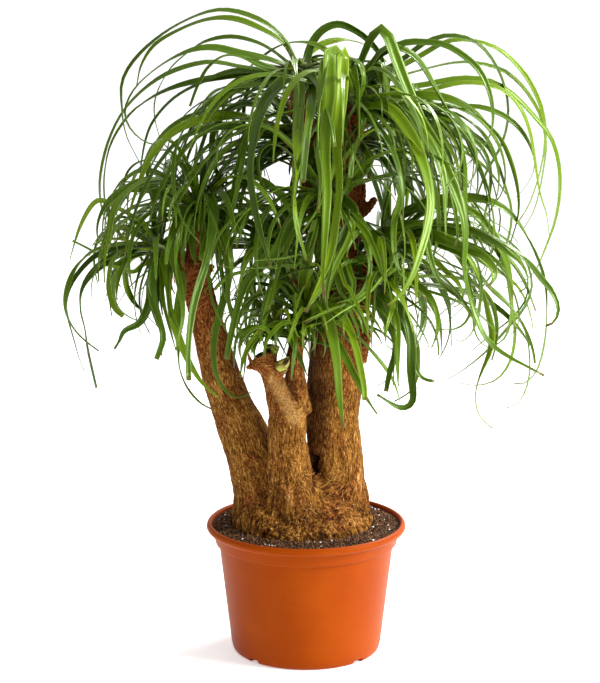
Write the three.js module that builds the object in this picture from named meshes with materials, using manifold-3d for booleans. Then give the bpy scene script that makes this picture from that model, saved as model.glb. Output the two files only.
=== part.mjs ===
// A ponytail palm in a terracotta-coloured nursery pot.
// Three bare stems rise from one swollen base, and a dozen limbs each end in a head of strap leaves
// that arch out and hang. Millimetres, +Z up. The origin is on the ground under the pot's axis;
// the front of the plant faces -Y, and +X is to its right.
import * as THREE from "three";
import { mergeVertices } from "three/addons/utils/BufferGeometryUtils.js";
import Module from "manifold-3d";

const wasm = await Module();
wasm.setup();
const { degToRad, lerp, smoothstep } = THREE.MathUtils;

// ---------------------------------------------------------------- driving dimensions
const SEAT = 0.3; // clearance between pieces that rest on each other

const pot = {
  height: 178.6,
  footRadius: 96,
  footInner: 86,
  floor: 5, // height of the floor's underside above the ground
  wall: 2,
  wallFoot: [101.5, 9], // [radius, height] of the wall at the bottom
  wallTop: [117.8, 148],
  bandFoot: [122.8, 151], // the stepped band under the lip
  bandTop: [126, 166.8],
  lipRadius: 135,
  mouthRadius: 127,
  facets: 36,
  notches: 4,
  notchWidth: 17,
  notchHeight: 8,
  firstNotch: 45, // degrees from +X
  drains: 6,
  drainRadius: 6,
  drainCircle: 58,
};

const soil = {
  level: 173.5, // at the pot's wall
  mound: 3.5, // rise towards the plant
  ripple: 1.6,
};

// The root stock fills a plain oval hole in the soil.
const stock = { x: -5, y: 0, a: 96, b: 89, bottom: 70, top: 173, sides: 28 };

// Sections of the swollen base above the soil: [height, centre x, centre y, half width, half depth].
const BASE_SECTIONS = [
  [178, -5, 0, 95, 88],
  [190, -8, -1, 92, 79],
  [204, -10, -1, 87, 66],
  [222, -12, 0, 78, 49],
  [240, -13, 0, 62, 30],
];

// Stems and limbs: stations [x, y, z, radius] from the base up.
const STEMS = {
  left: [
    [-51, 4, 181, 44],
    [-57, 3, 208, 42],
    [-66, 2, 250, 37.5],
    [-83, 4, 299, 33],
    [-102, 6, 346, 28],
    [-122, 8, 405, 23.5],
    [-136, 9, 462, 21],
    [-145, 10, 505, 20],
    [-150, 10, 534, 17],
  ],
  centre: [
    [-12, -24, 181, 49],
    [-15, -27, 204, 44],
    [-19, -31, 236, 35],
    [-22, -36, 265, 28.5],
    [-24, -40, 297, 26],
    [-25, -44, 335, 25],
    [-31, -46, 350, 20],
    [-37, -47, 362, 15.5],
    [-41, -48, 377, 14],
    [-47, -49, 396, 14],
    [-54, -50, 412, 14],
    [-58, -50, 422, 11.5],
  ],
  right: [
    [41, 4, 181, 46.5],
    [42, 5, 205, 41],
    [41, 6, 238, 37],
    [37, 6, 316, 36],
    [39, 6, 368, 37],
    [40, 6, 422, 35.5],
    [43, 8, 462, 31],
    [49, 10, 500, 22],
    [55, 12, 545, 15],
    [63, 12, 592, 12.5],
    [68, 12, 628, 11],
    [69, 12, 642, 8],
  ],
};

// Short dry stubs and forks that carry nothing.
const STUBS = [
  // fork near the top of the right stem
  [[66, 12, 594, 8], [79, 8, 603, 6.5], [91, 2, 619, 4.5]],
  // two dead twigs beside the cut top of the centre stem, and the seat of its side bud
  [[-55, -52, 400, 7], [-68, -53, 404, 4.5], [-79, -54, 403, 3]],
  [[-62, -52, 402, 5], [-71, -53, 408, 3.5], [-77, -53, 424, 2]],
  [[-42, -54, 390, 8], [-34, -58, 402, 9], [-30, -59, 411, 6]],
  // lifted flap of bark on the right stem
  [[72, -4, 400, 9], [80, -6, 436, 6.5], [78, -6, 462, 3]],
  // dead fork at the top of the left stem
  [[-140, -2, 505, 8], [-131, -12, 522, 6], [-122, -16, 533, 3.5]],
];

// Each head: the limb that carries it (stations as above, the last at the head's foot), how many
// leaves fill it besides the leaders below, and the length of its longest leaf.
const HEADS = {
  crown_left: {
    limb: [
      [44, 12, 470, 16],
      [24, 24, 560, 14],
      [6, 20, 660, 12.5],
      [-2, 12, 735, 12],
      [-5, 8, 772, 13],
    ],
    others: 30,
    reach: 440,
  },
  crown_right: {
    limb: [
      [48, 10, 505, 14],
      [47, 0, 590, 13],
      [51, -10, 665, 12.5],
      [55, -22, 718, 13],
      [57, -31, 740, 13],
    ],
    others: 24,
    reach: 440,
  },
  back_left: {
    limb: [
      [16, 26, 590, 12],
      [4, 44, 640, 11],
      [-8, 61, 681, 12],
    ],
    others: 32,
    reach: 420,
  },
  back_right: {
    limb: [
      [54, 12, 545, 13],
      [62, 34, 600, 11.5],
      [60, 48, 645, 11],
      [58, 58, 674, 12],
    ],
    others: 34,
    reach: 420,
  },
  middle: {
    limb: [
      [22, 24, 560, 11],
      [20, 4, 590, 10.5],
      [22, -14, 612, 11],
    ],
    others: 26,
    reach: 330,
  },
  right_high: {
    limb: [
      [46, 8, 470, 15],
      [68, 6, 508, 13],
      [88, 0, 535, 12],
      [100, -4, 549, 12],
    ],
    others: 30,
    reach: 400,
  },
  right_low: {
    limb: [
      [48, -4, 440, 14],
      [66, -18, 474, 12],
      [82, -28, 496, 12],
      [90, -34, 505, 12],
    ],
    others: 30,
    reach: 320,
  },
  behind: {
    limb: [
      [32, 24, 420, 14],
      [8, 44, 472, 12],
      [-12, 58, 512, 11],
      [-22, 68, 530, 11.5],
    ],
    others: 30,
    reach: 340,
  },
  left_high: {
    limb: [
      [-148, 10, 520, 14],
      [-147, 10, 556, 12],
      [-143, 8, 588, 13],
    ],
    others: 30,
    reach: 330,
  },
  left_low: {
    limb: [
      [-143, 8, 500, 15],
      [-160, 3, 526, 12],
      [-178, -2, 540, 11.5],
      [-187, -5, 546, 11.5],
    ],
    others: 26,
    reach: 290,
  },
  twig: {
    limb: [
      [-4, -41, 338, 13],
      [-8, -41, 358, 12.5],
      [-13, -40, 380, 13],
      [-16, -39, 403, 12],
      [-15, -38, 420, 11],
      [-11, -36, 438, 10],
      [-5, -34, 452, 9.5],
    ],
    others: 20,
    reach: 250,
  },
  shoot: {
    limb: [
      [-45, -46, 388, 10],
      [-46, -42, 408, 8],
      [-45, -39, 420, 8.5],
      [-43, -38, 430, 9.5],
    ],
    others: 22,
    reach: 210,
  },
};

// Leading leaves, which draw the plant's outline:
// [head, azimuth, rise, fall, length, crest, sharpness, drift].
// Azimuth runs from +X (0) through the back (90); rise and fall are the slopes at root and tip in
// degrees; crest is where along the leaf half its bend is done, sharpness how suddenly, and drift
// is the swing of the azimuth from root to tip.
const LEADERS = [
  ["crown_left", 180, 68, -95, 350, 1.0, 1.5, 0],
  ["crown_left", 178, 58, -115, 440, 1.0, 1.5, 0],
  ["crown_left", 182, 14, -115, 430, 1.0, 2.0, 0],
  ["crown_left", 188, 6, -112, 425, 1.2, 2.0, 0],
  ["crown_left", 184, 40, -100, 350, 1.0, 1.5, 0],
  ["crown_left", 165, 44, -105, 330, 1.0, 1.5, 0],
  ["crown_left", -115, 25, -90, 330, 0.6, 2.0, 15],
  ["crown_left", 10, 78, -100, 215, 0.8, 1.6, 0],
  ["crown_left", 25, 55, -85, 220, 0.8, 1.6, 0],
  ["crown_right", 172, 68, -85, 300, 0.8, 1.6, 0],
  ["crown_right", -25, 70, -64, 320, 0.33, 9.0, 0],
  ["crown_right", -25, 62, -90, 370, 0.3, 3.0, 0],
  ["crown_right", 0, 50, -115, 460, 1.0, 1.6, 0],
  ["crown_right", -10, 50, -118, 400, 1.0, 1.7, 0],
  ["crown_right", 12, 66, -140, 365, 1.0, 1.5, 0],
  ["crown_right", 4, 18, -115, 440, 1.2, 2.0, 0],
  ["crown_right", -8, 24, -110, 370, 1.0, 1.7, 0],
  ["crown_right", -42, 25, -95, 320, 0.5, 2.0, 0],
  ["crown_right", -112, 75, -88, 330, 0.2, 6.0, 0],
  ["crown_right", -92, 78, -88, 250, 0.2, 6.0, 0],
  ["crown_right", -70, 70, -90, 260, 0.25, 5.0, 0],
  ["crown_right", -135, 50, -88, 270, 0.25, 5.0, 0],
  ["crown_right", -80, 40, -105, 450, 0.9, 1.6, 0],
  ["back_left", 100, 42, -105, 440, 0.9, 1.6, 0],
  ["right_high", -10, 30, -140, 320, 1.2, 3.0, 0],
  ["right_high", -35, 25, -75, 240, 0.8, 2.0, 0],
  ["right_high", -15, 30, -64, 310, 0.4, 4.0, 0],
  ["right_high", -5, 12, -125, 350, 1.0, 1.8, 0],
  ["right_high", 5, 40, -130, 420, 0.9, 1.7, 0],
  ["right_low", -30, 10, -92, 200, 0.4, 2.0, 0],
  ["right_low", -10, 35, -92, 200, 0.6, 2.0, 0],
  ["right_low", 10, 38, -95, 230, 0.6, 2.0, 0],
  ["twig", -68, 30, -80, 215, 0.4, 2.5, 0],
  ["twig", -52, 40, -80, 205, 0.3, 3.0, 0],
  ["twig", -40, 10, -60, 200, 0.8, 2.0, 0],
  ["shoot", 200, 35, -95, 130, 0.5, 2.0, 0],
  ["left_low", 180, 18, -155, 262, 1.0, 1.6, 0],
  ["left_low", 176, 10, -110, 272, 1.0, 1.5, 0],
  ["left_low", 187, 5, -105, 255, 0.8, 1.6, 0],
  ["left_low", 205, 0, -150, 165, 1.0, 1.6, 0],
  ["left_low", -120, 0, -50, 190, 0.6, 2.0, 0],
  ["left_low", -100, 20, -95, 200, 0.35, 2.0, 0],
  ["left_low", -80, 20, -90, 240, 0.35, 2.0, 0],
  ["left_high", 175, 30, -75, 235, 1.0, 1.5, 0],
  ["left_high", 168, 38, -105, 225, 0.9, 1.6, 0],
];

const leaf = {
  halfRoot: 4.5, // half width inside the bud
  half: 6.5,
  halfTip: 2.6,
  keel: 2.2, // depth of the folded midrib under the blade
  keelTip: 1.2,
  segments: 5,
  spread: 0.5, // how far from the bud's axis its root starts, as a share of the bud's radius
  clear: 0.4, // kept between leaves of different heads
  tries: 60,
  leaderGive: 0.5, // how far a leading leaf may be bent to clear its neighbours, as a share
  otherGive: 1.6,
};

// The foliage stays inside this envelope: half width, half depth and top.
const ENVELOPE = { x: 334, y: 312, top: 866, bottom: 300 };
const GOLDEN = 137.508; // degrees between one leaf and the next round a head
const SEED = 41;

// ---------------------------------------------------------------- geometry helpers
const vec = (x, y, z) => new THREE.Vector3(x, y, z);
const UP = vec(0, 0, 1);

// Repeatable random numbers from 0 to 1.
function randomFrom(seed) {
  let state = seed;
  return () => {
    state = (state + 0x6d2b79f5) | 0;
    let t = Math.imul(state ^ (state >>> 15), state | 1);
    t ^= t + Math.imul(t ^ (t >>> 7), t | 61);
    return ((t ^ (t >>> 14)) >>> 0) / 4294967296;
  };
}

function manifoldOf(positions, faces) {
  const whole = faces.filter(([a, b, c]) => a !== b && b !== c && a !== c);
  const mesh = new wasm.Mesh({
    numProp: 3,
    vertProperties: new Float32Array(positions),
    triVerts: new Uint32Array(whole.flat()),
  });
  return new wasm.Manifold(mesh);
}

// A closed three.js geometry as a solid for joining and cutting.
function solidOf(geometry) {
  const bare = geometry.clone();
  bare.deleteAttribute("normal");
  bare.deleteAttribute("uv");
  const merged = mergeVertices(bare, 1e-3);
  const index = [...merged.index.array];
  const faces = index.flatMap((_, i) => (i % 3 ? [] : [index.slice(i, i + 3)]));
  return manifoldOf(merged.attributes.position.array, faces);
}

function geometryOf(solid) {
  const mesh = solid.getMesh();
  const geometry = new THREE.BufferGeometry();
  geometry.setAttribute("position", new THREE.BufferAttribute(mesh.vertProperties, 3));
  geometry.setIndex(new THREE.BufferAttribute(mesh.triVerts, 1));
  geometry.computeVertexNormals();
  return geometry;
}

const joined = (solids) => wasm.Manifold.union(solids);

// A solid skinned over rings of points that run anticlockwise about the way ahead.
// A ring of one point closes an end.
function skin(rings) {
  const faces = [];
  let start = 0;
  for (let i = 0; i + 1 < rings.length; i++) {
    const here = rings[i].length;
    const there = rings[i + 1].length;
    const next = start + here;
    for (let k = 0; k < Math.max(here, there); k++) {
      const [p, q] = [start + (k % here), start + ((k + 1) % here)];
      const [r, s] = [next + (k % there), next + ((k + 1) % there)];
      faces.push([p, q, s], [p, s, r]);
    }
    start = next;
  }
  return manifoldOf(rings.flat().flatMap((p) => p.toArray()), faces);
}

const middleOf = (ring) =>
  ring.reduce((sum, p) => sum.add(p), vec(0, 0, 0)).divideScalar(ring.length);

const capped = (rings) => [[middleOf(rings[0])], ...rings, [middleOf(rings.at(-1))]];

// A limb skinned over stations [x, y, z, radius], each section square to the path.
// lobes(angle, height) swells or pinches the section.
function limbOf(stations, sides, lobes = () => 1) {
  const path = stations.map(([x, y, z]) => vec(x, y, z));
  let side = vec(1, 0, 0);
  const rings = path.map((here, i) => {
    const ahead = path[Math.min(i + 1, path.length - 1)].clone().sub(path[Math.max(i - 1, 0)]).normalize();
    side = side.clone().addScaledVector(ahead, -side.dot(ahead)).normalize();
    const other = ahead.clone().cross(side);
    return Array.from({ length: sides }, (_, k) => {
      const angle = (2 * Math.PI * k) / sides;
      const radius = stations[i][3] * lobes(angle, here.z);
      return here
        .clone()
        .addScaledVector(side, radius * Math.cos(angle))
        .addScaledVector(other, radius * Math.sin(angle));
    });
  });
  return skin(capped(rings));
}

const ovalRing = (z, x, y, a, b, sides, lobes = () => 1) =>
  Array.from({ length: sides }, (_, k) => {
    const angle = (2 * Math.PI * k) / sides;
    const swell = lobes(angle, z);
    return vec(x + a * swell * Math.cos(angle), y + b * swell * Math.sin(angle), z);
  });

const turned = (profile) =>
  solidOf(
    new THREE.LatheGeometry(
      profile.map(([r, z]) => new THREE.Vector2(r, z)),
      pot.facets,
    ).rotateX(Math.PI / 2),
  );

// ---------------------------------------------------------------- pot
// One moulding: floor inside a notched foot ring, tapered wall, stepped band and rolled lip.
const innerProfile = [
  [pot.wallFoot[0] - pot.wall - 2.5, pot.floor + pot.wall],
  [pot.wallFoot[0] - pot.wall, pot.wallFoot[1] + 1],
  [pot.wallTop[0] - pot.wall, pot.wallTop[1] - 1],
  [pot.bandFoot[0] - pot.wall, pot.bandFoot[1] + 1],
  [pot.bandTop[0] - pot.wall, pot.bandTop[1]],
  [pot.mouthRadius, pot.bandTop[1] + 4],
];

function potSolid() {
  const lip = pot.lipRadius;
  const top = pot.height;
  const body = turned([
    [0, pot.floor],
    [pot.footInner, pot.floor],
    [pot.footInner, 0],
    [pot.footRadius, 0],
    [pot.footRadius + 3.6, 2.6],
    pot.wallFoot,
    pot.wallTop,
    [pot.wallTop[0] + 0.2, pot.wallTop[1] + 1.6],
    pot.bandFoot,
    pot.bandTop,
    [lip - 3, pot.bandTop[1] + 1.2],
    [lip - 0.6, pot.bandTop[1] + 4],
    [lip, top - 6],
    [lip - 1.2, top - 2],
    [lip - 3.6, top],
    [pot.mouthRadius + 2.4, top],
    [pot.mouthRadius, top - 2.2],
    ...innerProfile.toReversed(),
    [0, pot.floor + pot.wall],
  ]);
  const ringWidth = pot.footRadius + 8 - (pot.footInner - 4);
  const cuts = [];
  for (let i = 0; i < pot.notches; i++) {
    const notch = new THREE.BoxGeometry(ringWidth, pot.notchWidth, 2 * pot.notchHeight)
      .translate(pot.footInner - 4 + ringWidth / 2, 0, pot.floor + pot.wall / 2 - pot.notchHeight)
      .rotateZ(degToRad(pot.firstNotch + (360 / pot.notches) * i));
    cuts.push(solidOf(notch));
  }
  for (let i = 0; i < pot.drains; i++) {
    const turn = degToRad((360 / pot.drains) * i);
    const drain = new THREE.CylinderGeometry(pot.drainRadius, pot.drainRadius, 4 * pot.wall, 10)
      .rotateX(Math.PI / 2)
      .translate(pot.drainCircle * Math.cos(turn), pot.drainCircle * Math.sin(turn), pot.floor);
    cuts.push(solidOf(drain));
  }
  return body.subtract(joined(cuts));
}

// ---------------------------------------------------------------- soil
// Fills the pot up to just below the lip, and mounds towards the plant. The root stock stands
// in a plain oval hole.
function soilSolid() {
  const rim = pot.mouthRadius - SEAT;
  const sides = innerProfile.map(([r, z], i) => [r - SEAT - (i ? 0 : 0.2), z + (i ? 0 : SEAT)]);
  const levels = [1, 0.93, 0.85, 0.76].map((share) => [
    rim * share,
    soil.level + soil.mound * smoothstep(1 - share, 0, 0.25),
  ]);
  const profile = [[0, pot.floor + pot.wall + SEAT], ...sides, ...levels, [0, soil.level + soil.mound]];
  const geometry = new THREE.LatheGeometry(
    profile.map(([r, z]) => new THREE.Vector2(r, z)),
    pot.facets,
  ).rotateX(Math.PI / 2);
  const points = geometry.attributes.position;
  for (let i = 0; i < points.count; i++) {
    const [x, y, z] = [points.getX(i), points.getY(i), points.getZ(i)];
    const radius = Math.hypot(x, y);
    if (z < soil.level - 1 || radius > rim * 0.96) continue;
    const swell = Math.sin(x / 11 + 1) * Math.cos(y / 9) + 0.6 * Math.sin((x + y) / 7);
    points.setZ(i, z + soil.ripple * swell);
  }
  const hole = skin(
    capped(
      [stock.bottom - SEAT, soil.level + 30].map((z) =>
        ovalRing(z, stock.x, stock.y, stock.a + SEAT, stock.b + SEAT, stock.sides),
      ),
    ),
  );
  return solidOf(geometry).subtract(hole);
}

// ---------------------------------------------------------------- trunk
// One grown piece: root stock, ropey swollen base, stems, stubs and the limbs under the heads.
function trunkSolid() {
  const ropes = (angle, z) =>
    1 + 0.06 * smoothstep(z, 178, 198) * (Math.sin(5 * angle + 0.8) + 0.6 * Math.sin(9 * angle + z / 24));
  const flutes = (angle, z) => {
    const flare = smoothstep(z, 176, 190) * (1 - smoothstep(z, 200, 270));
    return 1 + 0.03 * Math.sin(3 * angle + z / 30) + (0.018 + 0.06 * flare) * Math.sin(5 * angle - z / 41);
  };
  const root = [stock.bottom, stock.top].map((z) =>
    ovalRing(z, stock.x, stock.y, stock.a, stock.b, stock.sides),
  );
  const base = BASE_SECTIONS.map(([z, x, y, a, b]) => ovalRing(z, x, y, a, b, stock.sides, ropes));
  const limbs = Object.values(HEADS).map((head) => limbOf(head.limb, 7));
  const stubs = STUBS.map((stations) => limbOf(stations, 5));
  const stems = Object.values(STEMS).map((stations) => limbOf(stations, 14, flutes));
  return joined([skin(capped([...root, ...base])), ...stems, ...limbs, ...stubs]).simplify(0.25);
}

// ---------------------------------------------------------------- leaves
// A head's growing point: a bud on the end of its limb, which every leaf root is sunk into.
function headFrame(name) {
  const stations = HEADS[name].limb;
  const end = vec(...stations.at(-1));
  const axis = end.clone().sub(vec(...stations.at(-2))).normalize();
  return { foot: end.clone().addScaledVector(axis, SEAT), axis, radius: stations.at(-1)[3] };
}

function budSolid({ foot, axis, radius }) {
  const sections = [
    [0, 1],
    [12, 1.25],
    [34, 0.3],
  ];
  const side = vec(1, 0, 0).addScaledVector(axis, -axis.x).normalize();
  const other = axis.clone().cross(side);
  const rings = sections.map(([height, share]) =>
    Array.from({ length: 6 }, (_, k) => {
      const angle = (Math.PI * k) / 3;
      return foot
        .clone()
        .addScaledVector(axis, height)
        .addScaledVector(side, radius * share * Math.cos(angle))
        .addScaledVector(other, radius * share * Math.sin(angle));
    }),
  );
  return skin(capped(rings));
}

// The midrib of a leaf as short steps, each a point with the leaf's way ahead, its width
// direction and the share of the length behind it.
function midrib(root, shape, steps = 30) {
  const [azimuth, rise, fall, length, crest, sharp, drift] = shape;
  const at = root.clone();
  const points = [];
  for (let i = 0; i <= steps; i++) {
    const share = i / steps;
    const bent = (share ** sharp * (1 + crest ** sharp)) / (share ** sharp + crest ** sharp);
    const slope = degToRad(lerp(rise, fall, bent));
    const turn = degToRad(azimuth + drift * share);
    const ahead = vec(Math.cos(slope) * Math.cos(turn), Math.cos(slope) * Math.sin(turn), Math.sin(slope));
    if (i) at.addScaledVector(ahead, length / steps);
    points.push({ at: at.clone(), ahead, across: vec(-Math.sin(turn), Math.cos(turn), 0), slope, share });
  }
  return points;
}

// Stations along the midrib, closer together where the leaf bends more.
function stationsOf(points) {
  const effort = (p, q) => (q.share - p.share) * 2.2 + Math.abs(q.slope - p.slope);
  const sums = [0];
  points.slice(1).forEach((q, i) => sums.push(sums[i] + effort(points[i], q)));
  const stations = Array.from({ length: leaf.segments }, (_, k) => {
    const goal = (sums.at(-1) * k) / leaf.segments;
    return points[sums.findIndex((sum) => sum >= goal - 1e-9)];
  });
  return [...stations, points.at(-1)];
}

const halfWidth = (share) =>
  share < 0.1
    ? lerp(leaf.halfRoot, leaf.half, share / 0.1)
    : lerp(leaf.half, leaf.halfTip, smoothstep(share, 0.35, 1));

// A strap blade with a flat upper face and a shallow keel, ending in a point.
function bladeSolid(points) {
  const stations = stationsOf(points);
  const tip = stations.at(-1).at;
  const rings = stations.slice(0, -1).map(({ at: centre, ahead, across, share }) => {
    const half = halfWidth(share);
    const keel = lerp(leaf.keel, leaf.keelTip, share);
    const face = ahead.clone().cross(across);
    return [
      centre.clone().addScaledVector(across, half),
      centre.clone().addScaledVector(across, -half),
      centre.clone().addScaledVector(face, -keel),
    ];
  });
  return skin([[middleOf(rings[0])], ...rings, [tip]]);
}

// Every placed midrib point, filed by the cell of space it lies in.
const CELL = 16;
const cells = new Map();
const cellKey = (x, y, z) => ((x + 64) * 128 + (y + 64)) * 128 + z + 64;
const cellOf = (p) => [p.x, p.y, p.z].map((c) => Math.floor(c / CELL));

function fileLeaf(placed) {
  for (const point of placed.points) {
    const key = cellKey(...cellOf(point.at));
    if (!cells.has(key)) cells.set(key, []);
    cells.get(key).push({ placed, point });
  }
}

// The leaves that pass close to these midrib points.
function neighboursOf(points) {
  const near = new Set();
  for (const point of points) {
    const [cx, cy, cz] = cellOf(point.at);
    for (let x = cx - 1; x <= cx + 1; x++)
      for (let y = cy - 1; y <= cy + 1; y++)
        for (let z = cz - 1; z <= cz + 1; z++)
          for (const other of cells.get(cellKey(x, y, z)) ?? []) {
            const distance = point.at.distanceTo(other.point.at);
            const reach = halfWidth(point.share) + halfWidth(other.point.share) + 9;
            if (distance > reach) continue;
            near.add(other.placed);
          }
  }
  return near;
}

function insideEnvelope(points) {
  return points.every(
    ({ at }) =>
      Math.abs(at.x) < ENVELOPE.x &&
      Math.abs(at.y) < ENVELOPE.y &&
      at.z < ENVELOPE.top &&
      at.z > ENVELOPE.bottom,
  );
}

const trunk = trunkSolid();
const heads = {};
for (const name of Object.keys(HEADS)) {
  const frame = headFrame(name);
  heads[name] = { ...frame, bud: budSolid(frame), blades: [] };
}

// A leaf is placed only where its blade runs clear of the trunk, the other heads' buds and
// every other leaf. Only a leading leaf may cross one of its own head, and is fused to it.
function placeLeaf(name, shape, height, leads) {
  const head = heads[name];
  const [ahead] = midrib(head.foot, shape, 1).map((point) => point.ahead);
  const outward = ahead.clone().addScaledVector(head.axis, -ahead.dot(head.axis)).normalize();
  const root = head.foot
    .clone()
    .addScaledVector(head.axis, height)
    .addScaledVector(outward, head.radius * leaf.spread);
  const points = midrib(root, shape);
  if (!insideEnvelope(points)) return false;
  const near = neighboursOf(points);
  const solid = bladeSolid(points);
  for (const other of near) {
    if (leads && other.name === name) continue;
    if (solid.minGap(other.solid, 1) < leaf.clear) return false;
  }
  if (solid.minGap(trunk, 1) < SEAT) return false;
  for (const [key, other] of Object.entries(heads))
    if (key !== name && solid.minGap(other.bud, 1) < leaf.clear) return false;
  const placed = { name, points, solid };
  fileLeaf(placed);
  head.blades.push(solid);
  return true;
}

// Bends a leaf a little further from its first shape on each try until it is clear.
function bendClear(name, shape, height, random, loose, leads) {
  for (let attempt = 0; attempt < leaf.tries; attempt++) {
    const give = (loose * attempt) / leaf.tries;
    const swing = (amount) => amount * give * (2 * random() - 1);
    const [azimuth, rise, fall, length, crest, sharp, drift] = shape;
    const bent = [
      azimuth + swing(20),
      rise + swing(16),
      fall + swing(14),
      length * (1 + swing(0.08) - 0.05 * give),
      crest,
      sharp,
      drift + swing(24),
    ];
    if (placeLeaf(name, bent, height, leads)) return true;
  }
  return false;
}

// The shape of one of a head's other leaves. The youngest stand up from the middle of the
// head, and the oldest leave it lowest and hang.
function otherLeaf(name, i, random) {
  const { axis } = heads[name];
  const { others, reach } = HEADS[name];
  const age = (i + 0.5) / others;
  const rise = degToRad(lerp(78, -12, age ** 0.8) + 14 * (random() - 0.5));
  const turn = degToRad(GOLDEN * i + 24 * random());
  const ahead = vec(Math.cos(rise) * Math.cos(turn), Math.cos(rise) * Math.sin(turn), Math.sin(rise));
  ahead.applyQuaternion(new THREE.Quaternion().setFromUnitVectors(UP, axis));
  return [
    THREE.MathUtils.radToDeg(Math.atan2(ahead.y, ahead.x)),
    THREE.MathUtils.radToDeg(Math.asin(ahead.z)),
    -72 - 48 * random(),
    reach * (0.62 + 0.38 * Math.sin(Math.PI * (0.25 + 0.6 * age))) * (0.82 + 0.22 * random()),
    0.35 + 0.75 * random(),
    1.5 + 1.5 * random(),
    40 * (random() - 0.5),
  ];
}

const random = randomFrom(SEED);
for (const [name, ...shape] of LEADERS) {
  const [, rise] = shape;
  bendClear(name, shape, lerp(10, 24, (rise + 20) / 100), random, leaf.leaderGive, true);
}
const mostOthers = Math.max(...Object.values(HEADS).map((head) => head.others));
for (let i = 0; i < mostOthers; i++)
  for (const [name, head] of Object.entries(HEADS)) {
    if (i >= head.others) continue;
    const height = lerp(26, 8, (i + 0.5) / head.others);
    bendClear(name, otherLeaf(name, i, random), height, random, leaf.otherGive, false);
  }

// ---------------------------------------------------------------- the assembled plant
const plastic = new THREE.MeshStandardMaterial({ color: 0xc25a22, roughness: 0.5 });
const mix = new THREE.MeshStandardMaterial({ color: 0x4a3223, roughness: 1 });
const bark = new THREE.MeshStandardMaterial({ color: 0xa27449, roughness: 0.95 });
const green = new THREE.MeshStandardMaterial({ color: 0x4f7d22, roughness: 0.45 });

const plant = new THREE.Group();
function add(name, solid, material) {
  const mesh = new THREE.Mesh(geometryOf(solid), material);
  mesh.name = name;
  plant.add(mesh);
}

add("pot", potSolid(), plastic);
add("soil", soilSolid(), mix);
add("trunk", trunk, bark);
for (const [name, head] of Object.entries(heads)) {
  add("leaves_" + name, joined([head.bud, ...head.blades]), green);
}

export default plant;
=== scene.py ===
"""A ponytail palm in a terracotta-coloured nursery pot: a swollen corky base, three bare stems and
a dozen heads of long strap leaves that arch out and hang.

Sizes are named in millimetres and turned to metres where a mesh is made. +Z is up, and the front
of the plant faces -Y.
"""
import math

import bpy
import numpy as np
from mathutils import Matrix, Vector, noise


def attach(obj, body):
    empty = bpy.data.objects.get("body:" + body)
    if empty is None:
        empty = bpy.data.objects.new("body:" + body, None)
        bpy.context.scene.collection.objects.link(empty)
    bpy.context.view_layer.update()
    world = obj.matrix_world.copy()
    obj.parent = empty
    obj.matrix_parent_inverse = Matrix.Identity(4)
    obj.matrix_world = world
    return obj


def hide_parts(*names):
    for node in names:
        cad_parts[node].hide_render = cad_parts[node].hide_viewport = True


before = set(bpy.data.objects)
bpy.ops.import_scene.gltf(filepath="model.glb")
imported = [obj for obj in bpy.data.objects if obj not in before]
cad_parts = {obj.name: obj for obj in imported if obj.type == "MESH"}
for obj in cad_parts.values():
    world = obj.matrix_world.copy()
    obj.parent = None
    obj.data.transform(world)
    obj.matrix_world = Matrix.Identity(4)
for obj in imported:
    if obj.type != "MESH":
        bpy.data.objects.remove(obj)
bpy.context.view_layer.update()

# ---------------------------------------------------------------- viewpoint, floor and light
# From a seated viewer's eye height the camera looks down a little on the plant, on a pale floor. The
# studio is bright beyond the plant and dim behind the viewer. A rim light behind it and a key light
# to its right shape it, and a weak fill light from the left opens the shadows.
MM = 0.001
EYE = (0, -3.0, 1.073)  # metres
TILT = 12.16  # degrees that the camera looks down
PAN = 0.157  # degrees that it looks left
LENS = 121.4
FLOOR_RADIUS = 30  # metres
ROOM_LIGHT = (0.08, 1.12)  # behind the viewer, and behind and above the plant
BRIGHT_SIDE = (0.48, 0.45, 0.75)  # the way from the plant to the brightest part of the room
ROOM_SPAN = (-0.3, 0.9)  # share of BRIGHT_SIDE in the ways where the room is dimmest and brightest
FLOOR_GLOW = 0.42  # of the floor, which is lit from below as a sweep table is
FLOOR_SIDES = 64
MOTTLE = 333  # mm across a patch of the floor's rolled coat
SOFT_BOXES = {  # place and aim in metres, side in metres, watts
    "rim_light": ((1.5, 1.7, 2.3), (0.05, 0, 0.6), 0.9, 80),
    "key_light": ((2.5, -0.9, 1.8), (0, 0, 0.5), 1.1, 128),
    "fill_light": ((-1.0, -2.6, 2.0), (0, 0, 0.45), 1.2, 11),
}


def linear(colour):
    """An sRGB hex colour as linear red, green, blue and alpha."""
    channels = [int(colour[i : i + 2], 16) / 255 for i in (1, 3, 5)]
    return [c / 12.92 if c <= 0.04045 else ((c + 0.055) / 1.055) ** 2.4 for c in channels] + [1]


def add(tree, kind, inputs=(), stops=(), **settings):
    """Adds a node. inputs holds its sockets' values or what feeds them, stops a ramp's colours."""
    node = tree.nodes.new(kind)
    for name, value in settings.items():
        setattr(node, name, value)
    for socket, value in dict(inputs).items():
        if isinstance(value, bpy.types.NodeSocket):
            tree.links.new(value, node.inputs[socket])
        else:
            node.inputs[socket].default_value = value
    if stops:
        elements = node.color_ramp.elements
        elements[0].position, elements[1].position = stops[0][0], stops[-1][0]
        for place, _ in stops[1:-1]:
            elements.new(place)
        for element, (_, colour) in zip(elements, stops):
            element.color = linear(colour)
    return node


def new_material(name, **constants):
    """A material with one Principled shader, its node tree and that shader."""
    material = bpy.data.materials.new(name)
    material.use_nodes = True
    tree = material.node_tree
    shader = tree.nodes["Principled BSDF"]
    for socket, value in constants.items():
        shader.inputs[socket.replace("_", " ")].default_value = value
    return material, tree, shader


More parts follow.
